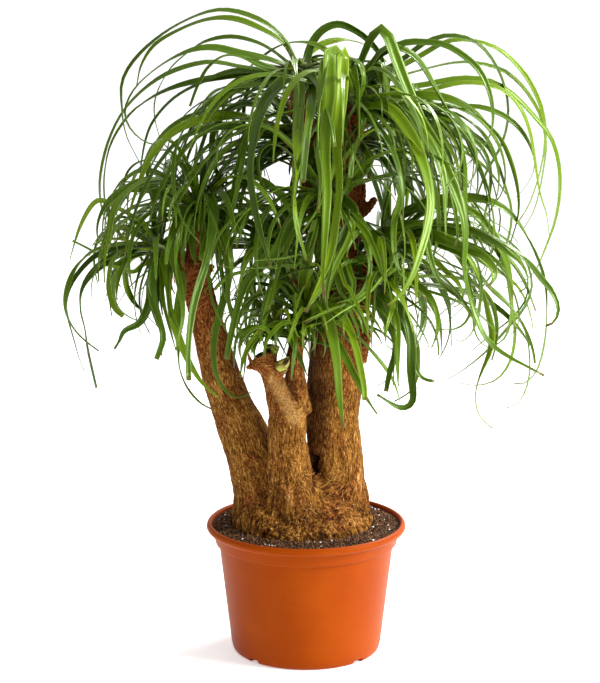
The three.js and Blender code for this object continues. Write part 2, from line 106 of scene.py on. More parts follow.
def new_piece(name, points, faces=(), edges=(), material=None):
    """An object with its place in its mesh, from points in millimetres."""
    mesh = bpy.data.meshes.new(name)
    mesh.from_pydata((np.array(points, float) * MM).tolist(), list(edges), list(faces))
    if material:
        mesh.materials.append(material)
    piece = bpy.data.objects.new(name, mesh)
    bpy.context.collection.objects.link(piece)
    return piece


camera = bpy.data.objects.new("camera", bpy.data.cameras.new("camera"))
camera.data.lens = LENS
camera.data.clip_end = 4 * FLOOR_RADIUS
camera.location = EYE
camera.rotation_euler = (math.radians(90 - TILT), 0, math.radians(PAN))
bpy.context.collection.objects.link(camera)
bpy.context.scene.camera = camera
bpy.context.scene.view_settings.view_transform = "Standard"

room = bpy.data.worlds.new("studio_room")
room.use_nodes = True
tree = room.node_tree
way = add(tree, "ShaderNodeTexCoord")
towards = add(
    tree, "ShaderNodeVectorMath", {0: way.outputs["Generated"], 1: BRIGHT_SIDE}, operation="DOT_PRODUCT"
)
brightness = add(
    tree,
    "ShaderNodeMapRange",
    {"Value": towards.outputs["Value"], "From Min": ROOM_SPAN[0], "From Max": ROOM_SPAN[1]}
    | {"To Min": ROOM_LIGHT[0], "To Max": ROOM_LIGHT[1]},
)
tree.links.new(brightness.outputs[0], tree.nodes["Background"].inputs["Strength"])
tree.nodes["Background"].inputs["Color"].default_value = linear("#ffffff")
bpy.context.scene.world = room

for light_name, (place, aim, side, watts) in SOFT_BOXES.items():
    lamp = bpy.data.lights.new(light_name, "AREA")
    lamp.size = side
    lamp.energy = watts
    soft_box = bpy.data.objects.new(light_name, lamp)
    soft_box.location = place
    soft_box.rotation_euler = (Vector(aim) - Vector(place)).to_track_quat("-Z", "Y").to_euler()
    bpy.context.collection.objects.link(soft_box)

# Matt white paint, with the faint mottle of a rolled coat.
paint, tree, shader = new_material("matt_white_floor_paint", Roughness=0.9, Emission_Strength=FLOOR_GLOW)
shader.inputs["Emission Color"].default_value = linear("#ffffff")
coords = add(tree, "ShaderNodeTexCoord")
mottle = add(tree, "ShaderNodeTexNoise", {"Vector": coords.outputs["Object"], "Scale": 1 / (MOTTLE * MM)})
shade = add(tree, "ShaderNodeValToRGB", {0: mottle.outputs["Fac"]}, [(0.3, "#f3f3f2"), (0.7, "#f7f7f6")])
tree.links.new(shade.outputs["Color"], shader.inputs["Base Color"])

turns = np.arange(FLOOR_SIDES) * 2 * math.pi / FLOOR_SIDES
rim = np.column_stack([np.cos(turns), np.sin(turns), 0 * turns]) * FLOOR_RADIUS / MM
floor = new_piece("studio_floor", rim, [range(FLOOR_SIDES)], material=paint)

# ---------------------------------------------------------------- pot
# A 27 cm nursery container: one moulding of terracotta-coloured polypropylene with a rolled lip, a
# stepped band, a tapered wall and a notched foot ring. Drain holes go through its floor.
POT_OUTLINE = [  # radius, height and corner radius, from the floor's underside round to its top
    (0, 5, 0),
    (86, 5, 1.2),
    (86, 0, 0.8),
    (96, 0, 1.2),
    (99.6, 2.6, 2.5),
    (101.5, 9, 5),
    (117.8, 148, 1.4),
    (118.2, 149.8, 0.9),
    (122.8, 151, 1.8),
    (126, 166.8, 0.8),
    (132, 168, 1.2),
    (134.4, 170.8, 1.6),
    (135, 173, 1.6),
    (133.8, 176.6, 1.8),
    (131.2, 178.6, 1.5),
    (129.2, 178.6, 1.3),
    (127, 176.2, 1.6),
    (127, 170.8, 2),
    (124, 166.8, 1.5),
    (120.8, 152, 1.5),
    (115.8, 147, 1.5),
    (99.5, 10, 3),
    (97, 7, 1.5),
    (0, 7, 0),
]
POT_SIDES = 180
NOTCHES = {"count": 4, "first": 45, "width": 17, "from": 82, "to": 108, "bottom": -8, "top": 6}
DRAINS = {"count": 6, "sides": 32, "radius": 6, "circle": 58, "bottom": 2, "top": 10}
POT_CREASE = 32  # degrees from which an edge of the pot shows as a crease


def rounded(corners, steps=4):
    """An outline of (x, y, corner radius) with its corners turned into curves of a few steps."""
    outline = []
    for i, (x, y, radius) in enumerate(corners):
        here = np.array([x, y], float)
        if not radius:
            outline.append(here)
            continue
        ends = []
        for neighbour in (corners[i - 1], corners[(i + 1) % len(corners)]):
            leg = np.array(neighbour[:2]) - here
            ends.append(here + leg * min(radius / np.linalg.norm(leg), 0.45))
        for t in np.linspace(0, 1, steps + 1):
            outline.append((1 - t) ** 2 * ends[0] + 2 * t * (1 - t) * here + t**2 * ends[1])
    return np.array(outline)


def turned(name, outline, sides, material=None):
    """An outline from the axis back to the axis, turned about Z into a closed skin."""
    body = outline[1:-1]
    angles = 2 * math.pi * np.arange(sides) / sides
    rings = [
        np.column_stack([r * np.cos(angles), r * np.sin(angles), np.full(sides, z)]) for r, z in body
    ]
    points = np.vstack([*rings, [[0, 0, outline[0][1]], [0, 0, outline[-1][1]]]])
    bottom, top = len(points) - 2, len(points) - 1
    last = (len(body) - 1) * sides
    faces = []
    for k in range(sides):
        following = (k + 1) % sides
        faces.append((bottom, following, k))
        faces.append((last + k, last + following, top))
        for ring in range(0, last, sides):
            faces.append((ring + k, ring + following, ring + sides + following, ring + sides + k))
    return new_piece(name, points, faces, material=material)


def settle(piece):
    """Turns what the piece's modifiers show into its own plain mesh."""
    graph = bpy.context.evaluated_depsgraph_get()
    shown = bpy.data.meshes.new_from_object(
        piece.evaluated_get(graph), preserve_all_data_layers=True, depsgraph=graph
    )
    piece.modifiers.clear()
    piece.data = shown


def combine(piece, tool, operation):
    """Cuts the tool out of the piece, or joins it on, and removes the tool."""
    change = piece.modifiers.new(operation, "BOOLEAN")
    change.operation = operation
    change.solver = "MANIFOLD"
    change.object = tool
    settle(piece)
    bpy.data.objects.remove(tool)


def smooth_faces(piece, sharp_from=180):
    """Smooth shading, with creases where faces meet at more than sharp_from degrees."""
    piece.data.polygons.foreach_set("use_smooth", [True] * len(piece.data.polygons))
    if sharp_from < 180:
        piece.data.set_sharp_from_angle(angle=math.radians(sharp_from))


def prism(section, low, high):
    """Points and faces of an upright prism over a closed section of (x, y)."""
    count = len(section)
    points = [(x, y, z) for z in (low, high) for x, y in section]
    walls = [(k, (k + 1) % count, count + (k + 1) % count, count + k) for k in range(count)]
    return points, [tuple(range(count))[::-1], tuple(range(count, 2 * count)), *walls]


# Polypropylene, injection moulded: an even satin skin that takes soft, wide highlights, with
# hair-fine rings left by the turned mould and a little soil rubbed into them.
polypropylene, tree, shader = new_material("moulded_polypropylene", Roughness=0.43)
shader.inputs["Specular IOR Level"].default_value = 0.1
shader.inputs["Specular Tint"].default_value = linear("#ffb888")  # the pigment tints its dull sheen
MOULD_RINGS = {"spacing": 2.4, "depth": 0.06}  # mm: wider apart than the real 0.3 mm, to show
RING_TONE = 0.35  # how far the rings change the tone, beside the clouds' 1
GRIT = {"size": 1.111, "height": 0.04}
CLOUDS = 71.43  # mm across a patch of rubbed-in soil
coords = add(tree, "ShaderNodeTexCoord")
height = add(tree, "ShaderNodeSeparateXYZ", {0: coords.outputs["Object"]})
rings = add(
    tree,
    "ShaderNodeTexNoise",
    {"W": height.outputs["Z"], "Scale": 1 / (MOULD_RINGS["spacing"] * MM), "Detail": 2.0},
    noise_dimensions="1D",
)
grit = add(
    tree,
    "ShaderNodeTexNoise",
    {"Vector": coords.outputs["Object"], "Scale": 1 / (GRIT["size"] * MM), "Detail": 2.0},
)
clouds = add(
    tree,
    "ShaderNodeTexNoise",
    {"Vector": coords.outputs["Object"], "Scale": 1 / (CLOUDS * MM), "Detail": 4.0},
)
mixed = add(
    tree,
    "ShaderNodeMath",
    {0: rings.outputs["Fac"], 1: RING_TONE, 2: clouds.outputs["Fac"]},
    operation="MULTIPLY_ADD",
)
tone = add(
    tree,
    "ShaderNodeValToRGB",
    {0: mixed.outputs[0]},
    [(0.45, "#943a04"), (0.68, "#9a3f06"), (0.9, "#a04508")],
)
tree.links.new(tone.outputs["Color"], shader.inputs["Base Color"])
gloss = add(
    tree,
    "ShaderNodeMapRange",
    {"Value": clouds.outputs["Fac"], "From Min": 0.3, "From Max": 0.7, "To Min": 0.4, "To Max": 0.5},
)
tree.links.new(gloss.outputs[0], shader.inputs["Roughness"])
ringed = add(
    tree,
    "ShaderNodeBump",
    {"Strength": 0.5, "Distance": MOULD_RINGS["depth"] * MM, "Height": rings.outputs["Fac"]},
)
gritty = add(
    tree,
    "ShaderNodeBump",
    {"Strength": 0.5, "Distance": GRIT["height"] * MM, "Height": grit.outputs["Fac"]}
    | {"Normal": ringed.outputs[0]},
)
tree.links.new(gritty.outputs[0], shader.inputs["Normal"])

pot = turned("nursery_pot", rounded(POT_OUTLINE), POT_SIDES, polypropylene)
for i in range(NOTCHES["count"]):
    turn = math.radians(NOTCHES["first"] + 360 / NOTCHES["count"] * i)
    out = np.array([math.cos(turn), math.sin(turn)])
    along = np.array([-math.sin(turn), math.cos(turn)]) * NOTCHES["width"] / 2
    near, far = out * NOTCHES["from"], out * NOTCHES["to"]
    section = [near - along, far - along, far + along, near + along]
    notch = new_piece("notch", *prism(section, NOTCHES["bottom"], NOTCHES["top"]))
    combine(pot, notch, "DIFFERENCE")
for i in range(DRAINS["count"]):
    turn = 2 * math.pi * i / DRAINS["count"]
    round_way = np.linspace(0, 2 * math.pi, DRAINS["sides"], endpoint=False)
    section = np.column_stack([np.cos(round_way), np.sin(round_way)]) * DRAINS["radius"]
    section += np.array([math.cos(turn), math.sin(turn)]) * DRAINS["circle"]
    drain = new_piece("drain", *prism(section, DRAINS["bottom"], DRAINS["top"]))
    combine(pot, drain, "DIFFERENCE")
smooth_faces(pot, sharp_from=POT_CREASE)
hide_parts("pot")
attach(pot, "root")

# ---------------------------------------------------------------- soil
# Peat mix that fills the pot to just below the lip: a raked, crumbly surface of peat crumbs and
# bark chips with white perlite grains, and a plain hole that the root stock stands in.
SOIL = {"edge": 126.7, "level": 173.5}  # its radius, and its height there
MOUND = {"height": 3.5, "over": 0.25}  # mm, and the share of the radius that it rises over
CALM_EDGE = 8  # mm from the pot's wall inward over which the surface starts to wave
SOIL_SIDE = [(0, 7.3), (97, 7.3), (99, 11), (115, 147), (120.3, 152), (123.5, 166.6), (126.5, 171)]
SWELLS = ((17, 1.6), (6, 0.9))  # mm across and high: the raked surface's waves
STOCK = {"x": -5, "y": 0, "a": 96, "b": 89, "bottom": 70, "top": 167.5}  # a and b are half widths
HOLE_TOP = 203.5
OVAL_SIDES = 72
SEAT = 0.3  # clearance between pieces that rest on each other
SOIL_SIDES, SOIL_RINGS = 200, 26
SOIL_CREASE = 40  # degrees
CRUMBS = {"size": 3.4, "spacing": 1.7, "density": 3e5, "seed": 7}  # density to a square metre
PERLITE = {"size": 3.0, "spacing": 2.2, "density": 5.5e3, "seed": 11}
GRAIN_SIZES = (0.45, 1.25)  # of a crumb's or grain's usual size
GRAIN_FORM = {"waves": 3, "uneven": 0.5, "flat": 0.7}
STREWN = {"inside": 2, "outside": 3, "rings": 10}  # mm off the base and off the pot's wall


def smoothstep(x, low, high):
    """0 up to low and 1 from high on, with a soft rise between them."""
    t = np.clip((x - low) / (high - low), 0, 1)
    return t * t * (3 - 2 * t)


def soil_height(x, y):
    """How high the raked surface lies at a place, in millimetres."""
    radius = math.hypot(x, y)
    rise = MOUND["height"] * float(smoothstep(1 - radius / SOIL["edge"], 0, MOUND["over"]))
    swell = sum(
        high * noise.noise(Vector((x / wide, y / wide, 5 * i))) for i, (wide, high) in enumerate(SWELLS)
    )
    return SOIL["level"] + rise + swell * float(smoothstep(SOIL["edge"] - radius, 0, CALM_EDGE))


# Damp peat: nearly black in the gaps and dull brown on its crumbs, with no gloss.
peat, tree, shader = new_material("peat_and_bark_mix", Roughness=0.95)
shader.inputs["Specular IOR Level"].default_value = 0.2
PEAT_GRAIN = {"size": 2.381, "height": 0.6}
CRUMB_TONE = 0.62  # how far a crumb's own shade changes the tone
coords = add(tree, "ShaderNodeTexCoord")
crumbs = add(
    tree,
    "ShaderNodeTexNoise",
    {"Vector": coords.outputs["Object"], "Scale": 1 / (PEAT_GRAIN["size"] * MM), "Detail": 3.0},
)
shade_of = add(tree, "ShaderNodeAttribute", attribute_name="shade")
tone_at = add(
    tree,
    "ShaderNodeMath",
    {0: shade_of.outputs["Fac"], 1: CRUMB_TONE, 2: crumbs.outputs["Fac"]},
    operation="MULTIPLY_ADD",
)
tone = add(
    tree,
    "ShaderNodeValToRGB",
    {0: tone_at.outputs[0]},
    [(0.35, "#150c06"), (0.6, "#332013"), (0.85, "#583c26"), (1.0, "#7a5636")],
)
tree.links.new(tone.outputs["Color"], shader.inputs["Base Color"])
crumbly = add(
    tree,
    "ShaderNodeBump",
    {"Strength": 0.8, "Distance": PEAT_GRAIN["height"] * MM, "Height": crumbs.outputs["Fac"]},
)
tree.links.new(crumbly.outputs[0], shader.inputs["Normal"])

# Perlite: blown glass rock, chalk white and pitted.
perlite, tree, shader = new_material("perlite", Roughness=0.8)
PITS = {"size": 0.625, "depth": 0.4}
coords = add(tree, "ShaderNodeTexCoord")
pits = add(
    tree, "ShaderNodeTexVoronoi", {"Vector": coords.outputs["Object"], "Scale": 1 / (PITS["size"] * MM)}
)
tone = add(tree, "ShaderNodeValToRGB", {0: pits.outputs["Distance"]}, [(0.0, "#b8b0a4"), (0.5, "#f4f1ec")])
tree.links.new(tone.outputs["Color"], shader.inputs["Base Color"])
pitted = add(
    tree,
    "ShaderNodeBump",
    {"Strength": 0.7, "Distance": PITS["depth"] * MM, "Height": pits.outputs["Distance"]},
)
tree.links.new(pitted.outputs[0], shader.inputs["Normal"])

edge = SOIL["edge"]
soil_top = [(edge * share, SOIL["level"]) for share in np.linspace(1, 0.35, SOIL_RINGS)]
soil_outline = np.array([*SOIL_SIDE, *soil_top, (0, SOIL["level"])])
soil = turned("peat_mix", soil_outline, SOIL_SIDES, peat)
for vertex in soil.data.vertices:
    x, y, z = vertex.co / MM
    if z > SOIL["level"] - 0.5 and math.hypot(x, y) < edge - 0.5:
        vertex.co.z = soil_height(x, y) * MM
round_way = np.linspace(0, 2 * math.pi, OVAL_SIDES, endpoint=False)
oval = np.column_stack([np.cos(round_way), np.sin(round_way)])
hole_section = oval * (STOCK["a"] + SEAT, STOCK["b"] + SEAT) + (STOCK["x"], STOCK["y"])
hole = new_piece("hole", *prism(hole_section, STOCK["bottom"] - SEAT, HOLE_TOP))
combine(soil, hole, "DIFFERENCE")
smooth_faces(soil, sharp_from=SOIL_CREASE)
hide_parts("soil")
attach(soil, "root")


def grain_shape(name, faceting, seed):
    """A flattened, uneven lump about 1 across, of a few dozen faces or more, for scattering."""
    bpy.ops.mesh.primitive_ico_sphere_add(subdivisions=faceting, radius=0.5)
    lump = bpy.context.object
    lump.name = name
    for vertex in lump.data.vertices:
        swell = noise.noise(vertex.co * GRAIN_FORM["waves"] + Vector((seed, 0, 0)))
        vertex.co = vertex.co * (1 + GRAIN_FORM["uneven"] * swell)
        vertex.co.z *= GRAIN_FORM["flat"]
    return lump


def scatter_tree(name):
    """Geometry Nodes that strew turned and scaled copies of a shape over a surface."""
    tree = bpy.data.node_groups.new(name, "GeometryNodeTree")
    face = tree.interface
    face.new_socket("Geometry", in_out="OUTPUT", socket_type="NodeSocketGeometry")
    face.new_socket("Geometry", in_out="INPUT", socket_type="NodeSocketGeometry")
    for socket, kind in (
        ("Shape", "Object"),
        ("Spacing", "Float"),
        ("Density", "Float"),
        ("Size", "Float"),
        ("Seed", "Int"),
        ("Finish", "Material"),
    ):
        face.new_socket(socket, in_out="INPUT", socket_type="NodeSocket" + kind)
    given = add(tree, "NodeGroupInput").outputs
    points = add(
        tree,
        "GeometryNodeDistributePointsOnFaces",
        {"Mesh": given["Geometry"], "Distance Min": given["Spacing"], "Seed": given["Seed"]}
        | {"Density Max": given["Density"]},
        distribute_method="POISSON",
    )
    full_turn = (6.283, 6.283, 6.283)
    spin = add(tree, "FunctionNodeRandomValue", {1: full_turn}, data_type="FLOAT_VECTOR")
    sizes = add(
        tree, "FunctionNodeRandomValue", {2: GRAIN_SIZES[0], 3: GRAIN_SIZES[1], 8: 3}, data_type="FLOAT"
    )
    scale = add(tree, "ShaderNodeMath", {0: sizes.outputs[1], 1: given["Size"]}, operation="MULTIPLY")
    shape = add(tree, "GeometryNodeObjectInfo", {"Object": given["Shape"]})
    strewn = add(
        tree,
        "GeometryNodeInstanceOnPoints",
        {"Points": points.outputs["Points"], "Instance": shape.outputs["Geometry"]}
        | {"Rotation": spin.outputs[0], "Scale": scale.outputs[0]},
    )
    shade = add(tree, "FunctionNodeRandomValue", {2: 0.0, 3: 1.0, 8: 5}, data_type="FLOAT")
    marked = add(
        tree,
        "GeometryNodeStoreNamedAttribute",
        {"Geometry": strewn.outputs[0], "Name": "shade", "Value": shade.outputs[1]},
        domain="INSTANCE",
    )
    real = add(tree, "GeometryNodeRealizeInstances", {0: marked.outputs[0]})
    finished = add(tree, "GeometryNodeSetMaterial", {0: real.outputs[0], "Material": given["Finish"]})
    add(tree, "NodeGroupOutput", {0: finished.outputs[0]})
    return tree


def run_tree(piece, tree, **values):
    """Runs a node tree on the piece and keeps the result as its plain mesh."""
    change = piece.modifiers.new(tree.name, "NODES")
    change.node_group = tree
    for socket in tree.interface.items_tree:
        if socket.in_out == "INPUT" and socket.name in values:
            change[socket.identifier] = values[socket.name]
    piece.update_tag()
    settle(piece)


# The open ring of soil round the base, which crumbs and grains are strewn over.
ring_points, ring_faces = [], []
inner = oval * (STOCK["a"] + STREWN["inside"], STOCK["b"] + STREWN["inside"]) + (STOCK["x"], STOCK["y"])
for share in np.linspace(0, 1, STREWN["rings"]):
    ring = inner + share * (oval * (edge - STREWN["outside"]) - inner)
    ring_points += [(x, y, soil_height(x, y)) for x, y in ring]
count = len(oval)
for i in range(STREWN["rings"] - 1):
    for k in range(count):
        a, b = i * count + k, i * count + (k + 1) % count
        ring_faces.append((a, b, b + count, a + count)[::-1])
scatter = scatter_tree("strewn_grains")
peat_crumb = grain_shape("peat_crumb", 1, 1)
perlite_grain = grain_shape("perlite_grain", 2, 4)
for name, shape, finish, strewn in (
    ("peat_crumbs", peat_crumb, peat, CRUMBS),
    ("perlite_grains", perlite_grain, perlite, PERLITE),
):
    piece = new_piece(name, ring_points, ring_faces)
    values = {"Spacing": strewn["spacing"] * MM, "Density": strewn["density"], "Size": strewn["size"] * MM}
    run_tree(piece, scatter, Shape=shape, Finish=finish, Seed=strewn["seed"], **values)
    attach(piece, "root")
for shape in (peat_crumb, perlite_grain):
    bpy.data.objects.remove(shape)

# ---------------------------------------------------------------- trunk
# One grown piece: a swollen corky base, three bare stems and the limbs under the heads of leaves.
# Its old bark is ropy and split into upright fibres; the young limbs are smoother and ringed.
STEMS = {  # stations: x, y, z and radius from the base up
    "left": [
        (-51, 4, 181, 44),
        (-57, 3, 208, 42),
        (-66, 2, 250, 37.5),
        (-83, 4, 299, 33),
        (-102, 6, 346, 28),
        (-122, 8, 405, 23.5),
        (-136, 9, 462, 21),
        (-145, 10, 505, 20),
        (-150, 10, 534, 17),
    ],
    "centre": [
        (-12, -24, 181, 49),
        (-15, -27, 204, 44),
        (-19, -31, 236, 35),
        (-22, -36, 265, 28.5),
        (-24, -40, 297, 26),
        (-25, -44, 335, 25),
        (-31, -46, 350, 20),
        (-37, -47, 362, 15.5),
        (-41, -48, 377, 14),
        (-47, -49, 396, 14),
        (-54, -50, 412, 14),
        (-58, -50, 422, 11.5),
    ],
    "right": [
        (41, 4, 181, 46.5),
        (42, 5, 205, 41),
        (41, 6, 238, 37),
        (37, 6, 316, 36),
        (39, 6, 368, 37),
        (40, 6, 422, 35.5),
        (43, 8, 462, 31),
        (49, 10, 500, 22),
        (55, 12, 545, 15),
        (63, 12, 592, 12.5),
        (68, 12, 628, 11),
        (69, 12, 642, 8),
    ],
}
LIMBS = {  # the limb under each head, its last station at the head's foot
    "crown_left": [
        (44, 12, 470, 16),
        (24, 24, 560, 14),
        (6, 20, 660, 12.5),
        (-2, 12, 735, 12),
        (-5, 8, 772, 13),
    ],
    "crown_right": [
        (48, 10, 505, 14),
        (47, 0, 590, 13),
        (51, -10, 665, 12.5),
        (55, -22, 718, 13),
        (57, -31, 740, 13),
    ],
    "back_left": [(16, 26, 590, 12), (4, 44, 640, 11), (-8, 61, 681, 12)],
    "back_right": [(54, 12, 545, 13), (62, 34, 600, 11.5), (60, 48, 645, 11), (58, 58, 674, 12)],
    "middle": [(22, 24, 560, 11), (20, 4, 590, 10.5), (22, -14, 612, 11)],
    "right_high": [(46, 8, 470, 15), (68, 6, 508, 13), (88, 0, 535, 12), (100, -4, 549, 12)],
    "right_low": [(48, -4, 440, 14), (66, -18, 474, 12), (82, -28, 496, 12), (90, -34, 505, 12)],
    "behind": [(32, 24, 420, 14), (8, 44, 472, 12), (-12, 58, 512, 11), (-22, 68, 530, 11.5)],
    "left_high": [(-148, 10, 520, 14), (-147, 10, 556, 12), (-143, 8, 588, 13)],
    "left_low": [(-143, 8, 500, 15), (-160, 3, 526, 12), (-178, -2, 540, 11.5), (-187, -5, 546, 11.5)],
    "twig": [
        (-4, -41, 338, 13),
        (-8, -41, 358, 12.5),
        (-13, -40, 380, 13),
        (-16, -39, 403, 12),
        (-15, -38, 420, 11),
        (-11, -36, 438, 10),
        (-5, -34, 452, 9.5),
    ],
    "shoot": [(-45, -46, 388, 10), (-46, -42, 408, 8), (-45, -39, 420, 8.5), (-43, -38, 430, 9.5)],
}
STUBS = {  # short dry forks that carry nothing, the side bud's seat and a lifted flap of bark
    "right_fork": [(66, 12, 594, 8), (79, 8, 603, 6.5), (91, 2, 619, 4.5)],
    "cut_twig_low": [(-55, -52, 400, 7), (-68, -53, 404, 4.5), (-79, -54, 403, 3)],
    "cut_twig_high": [(-62, -52, 402, 5), (-71, -53, 408, 3.5), (-77, -53, 424, 2)],
    "side_bud_seat": [(-42, -54, 390, 8), (-34, -58, 402, 9), (-30, -59, 411, 6)],
    "bark_flap": [(72, -4, 400, 9), (80, -6, 436, 6.5), (78, -6, 462, 3)],
    "left_fork": [(-140, -2, 505, 8), (-131, -12, 522, 6), (-122, -16, 533, 3.5)],
}
BASE_SECTIONS = [  # height, centre x and y, half width and half depth
    (156, -5, 0, 93, 86),
    (170, -5, 0, 94, 87),
    (178, -5, 0, 95, 88),
    (190, -8, -1, 92, 79),
    (204, -10, -1, 87, 66),
    (222, -12, 0, 78, 49),
    (240, -13, 0, 62, 30),
]
FLARE = ((176, 190), (200, 270))  # heights over which a stem's foot swells out, and in again
STEM_ROPES = {"three": 0.03, "five": 0.018, "more_at_flare": 0.06}  # shares of the radius
BASE_ROPES = {"grown_over": (178, 198), "depth": 0.06, "finer": 0.6, "start": 0.8}  # start in radians
ROPE_LEAN = {"three": 30, "five": 41, "nine": 24}  # mm of height in which the ropes turn a radian
TUBE_SIDES = 36
STATION_SPACING = 6
VOXEL = 2.0  # mm, the grid that the stems and limbs are blended on
BLEND_PASSES = 5
GRAIN_REACH = 25  # mm off a limb's skin up to which its grain counts
GRAIN_BLEND = 6  # mm over which one limb's grain turns into its neighbour's
CLEARANCES = (-4, 80)  # mm off a limb's skin, the least and the most that weigh differently
CHUNK = 20000  # points handled at a time
TURNS_YOUNG = {"stem": (345, 520), "twig": (350, 395)}  # heights; limbs are young all along
YOUTH_OF_TWIG = 0.4


def spline(stations, spacing):
    """A smooth run of stations through those given, about spacing apart."""
    given = np.array(stations, float)
    given = np.vstack([2 * given[0] - given[1], given, 2 * given[-1] - given[-2]])
    run = []
    for a, b, c, d in zip(given, given[1:], given[2:], given[3:]):
        steps = max(2, round(np.linalg.norm((c - b)[:3]) / spacing))
        for t in np.arange(steps) / steps:
            square = (2 * a - 5 * b + 4 * c - d) * t**2
            run.append((2 * b + (c - a) * t + square + (3 * b - a - 3 * c + d) * t**3) / 2)
    return np.array([*run, given[-2]])


def frames_of(path):
    """The way ahead and two directions square to it at each station of a path."""
    ahead = np.gradient(path[:, :3], axis=0)
    ahead /= np.linalg.norm(ahead, axis=1)[:, None]
    sides = []
    side = np.array([1.0, 0, 0])
    for way in ahead:
        side = side - way * (side @ way)
        side /= np.linalg.norm(side)
        sides.append(side)
    sides = np.array(sides)
    return ahead, sides, np.cross(ahead, sides)


def skin(rings):
    """Points and faces of a closed skin over rings of equal count, with flat ends."""
    count = len(rings[0])
    faces = [tuple(range(count))[::-1]]
    for start in range(0, count * (len(rings) - 1), count):
        for k in range(count):
            a, b = start + k, start + (k + 1) % count
            faces.append((a, b, b + count, a + count))
    faces.append(tuple(range(count * (len(rings) - 1), count * len(rings))))
    return np.vstack(rings), faces


def flutes(angle, z):
    """How a stem's section swells and pinches: three and five shallow ropes, bolder at its flare."""
    flare = smoothstep(z, *FLARE[0]) * (1 - smoothstep(z, *FLARE[1]))
    depth = STEM_ROPES["five"] + STEM_ROPES["more_at_flare"] * flare
    ropes = depth * np.sin(5 * angle - z / ROPE_LEAN["five"])
    return 1 + STEM_ROPES["three"] * np.sin(3 * angle + z / ROPE_LEAN["three"]) + ropes


def base_ropes(angle, z):
    """How the base's section swells and pinches: five ropes and nine finer ones."""
    grown = BASE_ROPES["depth"] * smoothstep(z, *BASE_ROPES["grown_over"])
    finer = BASE_ROPES["finer"] * np.sin(9 * angle + z / ROPE_LEAN["nine"])
    return 1 + grown * (np.sin(5 * angle + BASE_ROPES["start"]) + finer)


around = 2 * math.pi * np.arange(TUBE_SIDES) / TUBE_SIDES


def limb_skin(path, swell=None):
    """A closed skin round a path of places and radii, plain or swelling as given."""
    _, sides, others = frames_of(path)
    rings = []
    for station, side, other in zip(path, sides, others):
        reach = station[3] * (swell(around, station[2]) if swell else np.ones(TUBE_SIDES))
        to_side, to_other = reach * np.cos(around), reach * np.sin(around)
        rings.append(station[:3] + np.outer(to_side, side) + np.outer(to_other, other))
    return skin(rings)


paths = {"stem_" + key: spline(stations, STATION_SPACING) for key, stations in STEMS.items()}
paths |= {key: spline(stations, STATION_SPACING) for key, stations in (LIMBS | STUBS).items()}

trunk_points, trunk_faces = [], []


def take(points, faces):
    """Adds a closed skin to what the trunk is blended from."""
    start = len(trunk_points)
    trunk_points.extend(points)
    trunk_faces.extend(tuple(start + k for k in face) for face in faces)


for key, path in paths.items():
    take(*limb_skin(path, flutes if key.startswith("stem_") else None))
base_rings = []
for z, x, y, a, b in spline(BASE_SECTIONS, STATION_SPACING):
    swell = base_ropes(around, z)
    ring_x, ring_y = x + a * swell * np.cos(around), y + b * swell * np.sin(around)
    base_rings.append(np.column_stack([ring_x, ring_y, np.full(TUBE_SIDES, z)]))
take(*skin(base_rings))

trunk = new_piece("ponytail_trunk", trunk_points, trunk_faces)
blend = trunk.modifiers.new("blend", "REMESH")
blend.mode = "VOXEL"
blend.voxel_size = VOXEL * MM
ease = trunk.modifiers.new("ease", "SMOOTH")
ease.iterations = BLEND_PASSES
settle(trunk)
stock_section = oval * (STOCK["a"], STOCK["b"]) + (STOCK["x"], STOCK["y"])
root_stock = new_piece("root_stock", *prism(stock_section, STOCK["bottom"], STOCK["top"]))
combine(trunk, root_stock, "UNION")

# Each point of the bark is read in the frame of the limbs it belongs to: across the grain and
# along it. That place in the grain is kept as an attribute, for the relief and for the material.
count = len(trunk.data.vertices)
spots = np.empty(count * 3)
trunk.data.vertices.foreach_get("co", spots)
spots = spots.reshape(-1, 3) / MM
facing = np.empty(count * 3)
trunk.data.vertices.foreach_get("normal", facing)
facing = facing.reshape(-1, 3)

grain = np.zeros((count, 3))
weights = np.zeros(count)
young = np.zeros(count)
for key, path in paths.items():
    ahead, sides, others = frames_of(path)
    steps = np.linalg.norm(np.diff(path[:, :3], axis=0), axis=1)
    lengths = np.concatenate([[0], np.cumsum(steps)])
    room = path[:, 3].max() + GRAIN_REACH
    box_low, box_high = path[:, :3].min(0) - room, path[:, :3].max(0) + room
    near = np.flatnonzero(np.all((spots > box_low) & (spots < box_high), axis=1))
    for chunk in np.array_split(near, max(1, len(near) // CHUNK)):
        offsets = spots[chunk, None] - path[None, :, :3]
        away = np.linalg.norm(offsets, axis=2)
        nearest = np.argmin(away - path[None, :, 3], axis=1)
        rows = np.arange(len(chunk))
        offset = offsets[rows, nearest]
        along = np.einsum("ij,ij->i", offset, ahead[nearest])
        across = np.einsum("ij,ij->i", offset, sides[nearest]) + path[0, 0]
        depth = np.einsum("ij,ij->i", offset, others[nearest]) + path[0, 1]
        clearance = away[rows, nearest] - path[nearest, 3]
        weight = np.exp(-np.clip(clearance, *CLEARANCES) / GRAIN_BLEND)
        place = np.column_stack([across, depth, lengths[nearest] + along + path[0, 2]])
        grain[chunk] += place * weight[:, None]
        weights[chunk] += weight
        youth = smoothstep(spots[chunk, 2], *TURNS_YOUNG.get(key[:4], (0, 1)))
        young[chunk] += youth * (YOUTH_OF_TWIG if key == "twig" else 1) * weight
weights = np.maximum(weights, 1e-9)
grain /= weights[:, None]
young /= weights


def noise_at(places, wide, tall, seed=0.0):
    """Noise from -1 to 1 over rows of places, wide across the grain and tall along it."""
    stretched = places / (wide, wide, tall) + seed
    return np.array([noise.noise(Vector(place)) for place in stretched])


